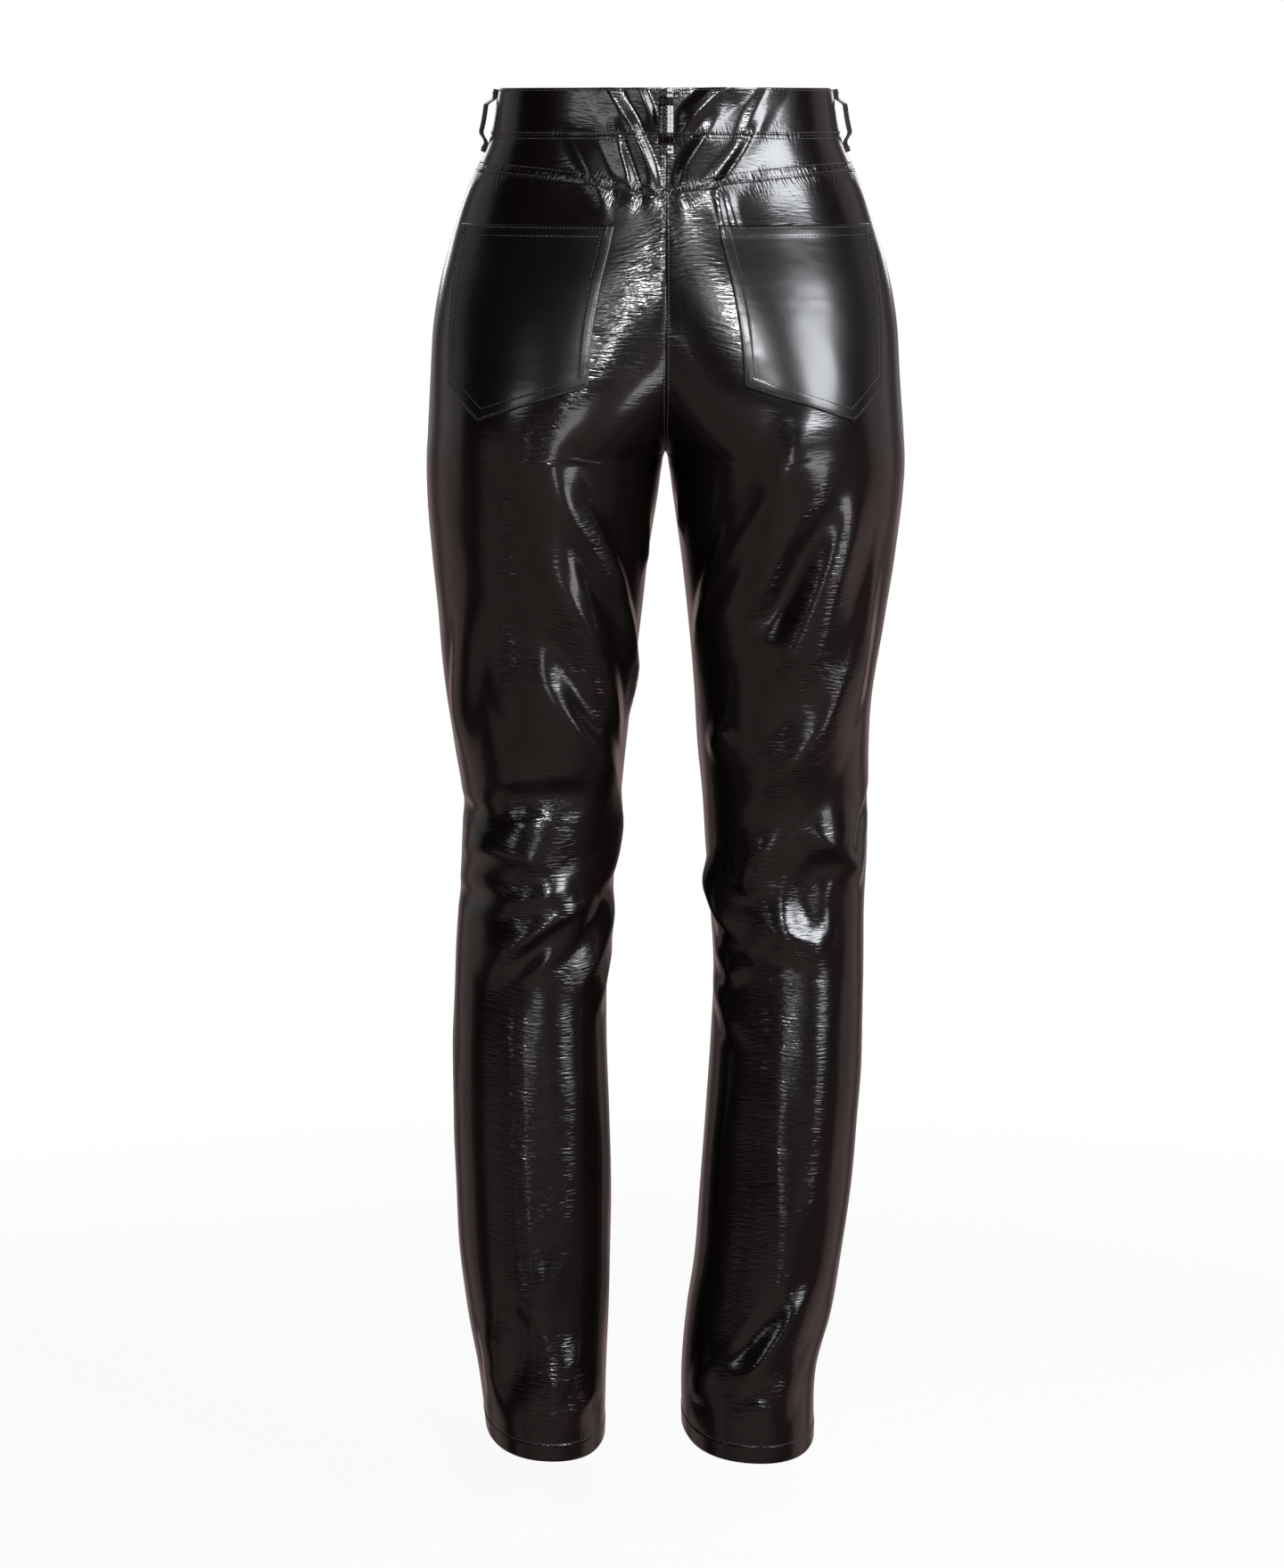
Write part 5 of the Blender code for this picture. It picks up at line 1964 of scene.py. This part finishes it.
@dataclass
class WaistButton:
    """A turned button on its shank, at the front of the waistband.

    Its profile has shares of the radius, and heights off the waistband.
    """

    form: LegForm
    across: float = 14.0
    radius: float = 8.5
    facets: int = 72
    sharp_from: float = 50.0
    profile: tuple = (
        (0.2, 3.7),
        (0.4, 3.6),
        (0.6, 3.6),
        (0.7, 3.7),
        (0.76, 3.95),
        (0.82, 4.1),
        (0.9, 4.1),
        (0.96, 3.9),
        (1.0, 3.4),
        (0.99, 2.9),
        (0.93, 2.55),
        (0.8, 2.4),
        (0.5, 2.2),
        (0.42, 1.9),
        (0.4, 0.45),
        (0.38, 0.3),
    )

    def build(self, finishes: Finishes) -> None:
        """Turns the profile and sets it on the waistband.

        Args:
            finishes: the materials.
        """
        mesh = turned_mesh("turned_button", np.array(self.profile) * (self.radius, 1) * MM, self.facets, True)
        mesh.materials.append(finishes[Slot.METAL])
        mesh.shade_smooth()
        mesh.set_sharp_from_angle(angle=math.radians(self.sharp_from))
        at = np.zeros(1)
        angle = self.form.angle_at(at, np.array([self.across]), Face.FRONT)
        lift = self.form.lift(at, angle)
        seat = Vector(self.form.surface(at, angle, BAND_PROUD + lift)[0] * MM)
        out = Vector(self.form.surface(at, angle, BAND_PROUD + lift + 1)[0] * MM) - seat
        mesh.transform(Matrix.Translation(seat) @ out.to_track_quat("Z", "Y").to_matrix().to_4x4())
        piece = added_piece("turned_button", mesh)
        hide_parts("button")
        LOG.info("%s: %d faces", piece.name, len(mesh.polygons))


class Glow(NamedTuple):
    """How bright the surroundings are, low down and high up, at an azimuth counted as a soft box's is."""

    azimuth: float
    low: float
    high: float


class Softbox(NamedTuple):
    """A soft light that doesn't show itself.

    It stands at an azimuth, in degrees from straight behind the trousers towards the camera's right, at a
    height and at a distance (reach) from their axis. Size is its width and height, and radiance its
    brightness as seen in a mirror.
    """

    name: str
    azimuth: float
    height: float
    reach: float
    size: tuple
    radiance: float
    tint: tuple


@dataclass
class Studio:
    """Camera, lights, floor and surroundings."""

    softboxes: tuple = (
        Softbox("Key", 47, 0.5, 2.2, (0.9, 1.1), 17.0, (0.92, 0.95, 1.0)),
        Softbox("Low key", 50, -0.61, 1.2, (0.36, 0.24), 4.5, (0.93, 0.95, 1.0)),
        Softbox("Low front", 5, -0.52, 1.3, (0.24, 0.34), 3.2, (0.93, 0.95, 1.0)),
        Softbox("Over camera", 6, 0.89, 2.75, (0.24, 0.24), 110.0, (0.95, 0.97, 1.0)),
        Softbox("High front", 0, 1.32, 2.75, (0.3, 0.42), 2.5, (1.0, 0.93, 0.92)),
        Softbox("Left", -35, 0.22, 2.4, (0.6, 0.45), 3.5, (0.97, 0.95, 1.0)),
        Softbox("Front left", 158, 0.5, 2.2, (0.5, 1.2), 2.2, (1.0, 0.97, 0.95)),
        Softbox("Front right", -158, 0.5, 2.2, (0.5, 1.2), 2.2, (1.0, 0.97, 0.95)),
    )

    surround: tuple = (
        Glow(-180, 0.30, 0.30),
        Glow(-158, 0.34, 0.32),
        Glow(-146, 0.12, 0.08),
        Glow(-138, 0.12, 0.08),
        Glow(-128, 0.36, 0.36),
        Glow(-101, 0.34, 0.32),
        Glow(-94, 0.07, 0.02),
        Glow(-76, 0.05, 0.008),
        Glow(-67, 0.25, 0.012),
        Glow(-54, 0.30, 0.008),
        Glow(-44, 0.21, 0.006),
        Glow(-20, 0.30, 0.006),
        Glow(5, 0.33, 0.006),
        Glow(28, 0.28, 0.006),
        Glow(46, 0.18, 0.008),
        Glow(62, 0.10, 0.012),
        Glow(80, 0.10, 0.008),
        Glow(93, 0.06, 0.02),
        Glow(101, 0.36, 0.34),
        Glow(128, 0.38, 0.36),
        Glow(138, 0.12, 0.08),
        Glow(146, 0.12, 0.08),
        Glow(158, 0.34, 0.32),
        Glow(180, 0.30, 0.30),
    )
    low_tint: tuple = (1.0, 0.74, 0.72)
    high_tint: tuple = (1.0, 0.93, 0.91)
    horizon: tuple = (-0.02, -0.13)
    underfoot: tuple = (-0.72, -0.9)
    underfoot_share: float = 0.35

    camera_place: tuple = (0.018, 3.25, 0.0)
    camera_pitch: float = 9.1
    focal_pixels: float = 4710.0
    picture_height: float = 1759.0
    floor_z: float = -1.128
    floor_radius: float = 1.7
    floor_rings: int = 24
    floor_sectors: int = 96
    floor_fade: tuple = (0.45, 0.95)
    floor_dark: tuple = (0.86, 0.86, 0.86)
    floor_light: tuple = (0.9, 0.9, 0.9)
    floor_noise: float = 3.0
    floor_roughness: float = 0.9
    floor_glow: float = 0.93
    middle_z: float = -0.3

    def camera(self) -> None:
        """Sets the photograph's view."""
        data = bpy.data.cameras.new("Camera")
        data.sensor_width = 36.0
        data.lens = self.focal_pixels * data.sensor_width / self.picture_height
        camera = added("Camera", data)
        camera.location = self.camera_place
        camera.rotation_euler = (math.radians(90 - self.camera_pitch), 0, math.pi)
        bpy.context.scene.camera = camera

    def lights(self) -> None:
        """Adds the soft lights, each turned to the middle of the trousers."""
        for box in self.softboxes:
            data = bpy.data.lights.new(box.name, "AREA")
            data.shape = "RECTANGLE"
            data.size, data.size_y = box.size
            data.energy = math.pi * box.size[0] * box.size[1] * box.radiance
            data.color = box.tint
            light = added(box.name, data)
            turn = math.radians(box.azimuth)
            light.location = (-math.sin(turn) * box.reach, math.cos(turn) * box.reach, box.height)
            aim = Vector((0, 0, self.middle_z)) - light.location
            light.rotation_euler = aim.to_track_quat("-Z", "Y").to_euler()
            light.visible_camera = False

    def ramp(self, nodes: NodeTree, share: Socket, level: str, tint: tuple) -> Socket:
        """The surroundings' colour round the compass.

        Args:
            nodes: the world's nodes.
            share: the way round, from 0 to 1.
            level: the column of the surroundings to use.
            tint: its colour.

        Returns:
            The tinted colour.
        """
        node = nodes.add("ShaderNodeValToRGB", {"Fac": share})
        elements = node.color_ramp.elements
        rows = [(0.5 + row.azimuth / 360, getattr(row, level)) for row in self.surround]
        while len(elements) < len(rows):
            elements.new(0.5)
        for element, (place, brightness) in zip(elements, rows):
            element.position = place
            element.color = (brightness, brightness, brightness, 1)
        return nodes.stretched(node.outputs["Color"], tint)

    def surroundings(self) -> None:
        """White for the camera; for reflections pale beyond the trousers, dark over a floor before them."""
        world = bpy.data.worlds.new("Studio")
        bpy.context.scene.world = world
        world.use_nodes = True
        nodes = NodeTree(world.node_tree)
        nodes.tree.nodes.clear()
        direction = nodes.add("ShaderNodeTexCoord").outputs["Generated"]
        x, y, z = nodes.add("ShaderNodeSeparateXYZ", {0: direction}).outputs[:]

        azimuth = nodes.sum("ARCTAN2", nodes.sum("MULTIPLY", x, -1.0), y)
        share = nodes.sum("MULTIPLY_ADD", azimuth, 1 / math.tau, 0.5)
        low = self.ramp(nodes, share, "low", self.low_tint)
        high = self.ramp(nodes, share, "high", self.high_tint)
        inputs = {"Factor": nodes.soft_step(z, *self.horizon), 6: high, 7: low}
        mix = nodes.add("ShaderNodeMix", inputs, data_type="RGBA")
        underfoot = nodes.between(nodes.soft_step(z, *self.underfoot), 1.0, self.underfoot_share)
        glow = nodes.add("ShaderNodeVectorMath", {0: mix.outputs[2], "Scale": underfoot}, operation="SCALE")
        seen = nodes.add("ShaderNodeBackground", {"Color": (1, 1, 1, 1), "Strength": 1.0})
        around = nodes.add("ShaderNodeBackground", {"Color": glow.outputs[0], "Strength": 1.0})
        ray = nodes.add("ShaderNodeLightPath").outputs["Is Camera Ray"]
        chosen = nodes.add("ShaderNodeMixShader", {0: ray, 1: around.outputs[0], 2: seen.outputs[0]})
        nodes.add("ShaderNodeOutputWorld", {"Surface": chosen.outputs[0]})

    def floor(self) -> None:
        """Adds a pale floor that fades out at its edge."""
        radii = np.linspace(self.floor_radius / self.floor_rings, self.floor_radius, self.floor_rings)
        mesh = turned_mesh("floor", np.stack([radii, np.zeros_like(radii)], -1), self.floor_sectors, False)
        material, nodes, shader = new_finish("Pale floor")
        place = nodes.add("ShaderNodeTexCoord").outputs["Object"]
        colour = nodes.tinted(nodes.noise(place, self.floor_noise), self.floor_dark, self.floor_light)
        nodes.feed(shader, {"Base Color": colour, "Roughness": self.floor_roughness})
        glow = nodes.add("ShaderNodeEmission", {"Color": (1, 1, 1, 1), "Strength": 1.0})
        shaders = {0: self.floor_glow, 1: shader.outputs[0], 2: glow.outputs[0]}
        pale = nodes.add("ShaderNodeMixShader", shaders)
        radius = nodes.add("ShaderNodeVectorMath", {0: place}, operation="LENGTH").outputs["Value"]
        start, end = (share * self.floor_radius for share in self.floor_fade)
        fade = nodes.soft_step(radius, start, end)
        clear = nodes.add("ShaderNodeBsdfTransparent")
        whole = nodes.add("ShaderNodeMixShader", {0: fade, 1: pale.outputs[0], 2: clear.outputs[0]})
        nodes.feed(nodes.tree.nodes["Material Output"], {"Surface": whole.outputs[0]})
        mesh.materials.append(material)
        floor = added("floor", mesh)
        floor.location = (0, 0, self.floor_z)
        floor.visible_glossy = False
        floor.visible_diffuse = False

    def build(self) -> None:
        """Sets up the whole studio."""
        self.camera()
        self.lights()
        self.surroundings()
        self.floor()
        bpy.context.scene.view_settings.view_transform = "Standard"


@dataclass
class Trousers:
    """The whole garment, made up from its cut pieces."""

    left: LegForm
    right: LegForm
    finishes: Finishes
    front_loop_across: float = 50.0
    front_loop_bow: float = 7.8
    front_step: float = 3.4

    def build_waist(self) -> None:
        """Makes the waistband, yokes and belt loops."""
        waist = Sewing("stitching_waistband")
        yokes = Sewing("stitching_yokes")
        for form in (self.left, self.right):
            Waistband(form).build(self.finishes, waist)
            Yoke(form).build(self.finishes, yokes)
        waist.build(self.finishes)
        yokes.build(self.finishes)
        loops = Sewing("stitching_belt_loops", pitch=2.4, radius=0.24)
        BeltLoop("belt_loop_back", self.left, angle=90.0).build(self.finishes, loops)
        for form in (self.left, self.right):
            BeltLoop(f"belt_loop_side_{form.name}", form, angle=0.0).build(self.finishes, loops)
            forward = form.angle_at(np.zeros(1), np.array([self.front_loop_across]), Face.FRONT)[0]
            name = f"belt_loop_front_{form.name}"
            BeltLoop(name, form, forward, self.front_loop_bow).build(self.finishes, loops)
        loops.build(self.finishes)

    def build_legs(self) -> None:
        """Makes the panels and pockets."""
        seams = Sewing("stitching_centre_seam")
        hems = Sewing("stitching_hems")
        pockets = Sewing("stitching_pockets")
        for form in (self.left, self.right):
            LegPanel(form, Face.BACK).build(self.finishes, seams, hems)
            LegPanel(form, Face.FRONT, step=self.front_step).build(self.finishes, seams, hems)
            PatchPocket(form).build(self.finishes, pockets)
        for sewing in (seams, hems, pockets):
            sewing.build(self.finishes)

    def build_closure(self) -> None:
        """Makes the fly and the button."""
        sewing = Sewing("stitching_fly")
        Fly(self.left).build(self.finishes, sewing)
        sewing.build(self.finishes)
        WaistButton(self.left).build(self.finishes)


def main() -> None:
    """Builds the trousers and their studio."""
    logging.basicConfig(level=logging.INFO, format="%(message)s")
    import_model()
    left = LegForm(
        "left", 1, LEFT_LEG_RINGS, LEFT_OUTSEAM, LEFT_FOLDS, LEFT_CRINKLES, hem_tilt=5.5, seed=11
    )
    right = LegForm(
        "right", -1, RIGHT_LEG_RINGS, RIGHT_OUTSEAM, RIGHT_FOLDS, RIGHT_CRINKLES, hem_tilt=-5.5, seed=29
    )
    trousers = Trousers(left, right, make_finishes())
    trousers.build_waist()
    trousers.build_legs()
    trousers.build_closure()
    Studio().build()


if __name__ == "__main__":
    main()
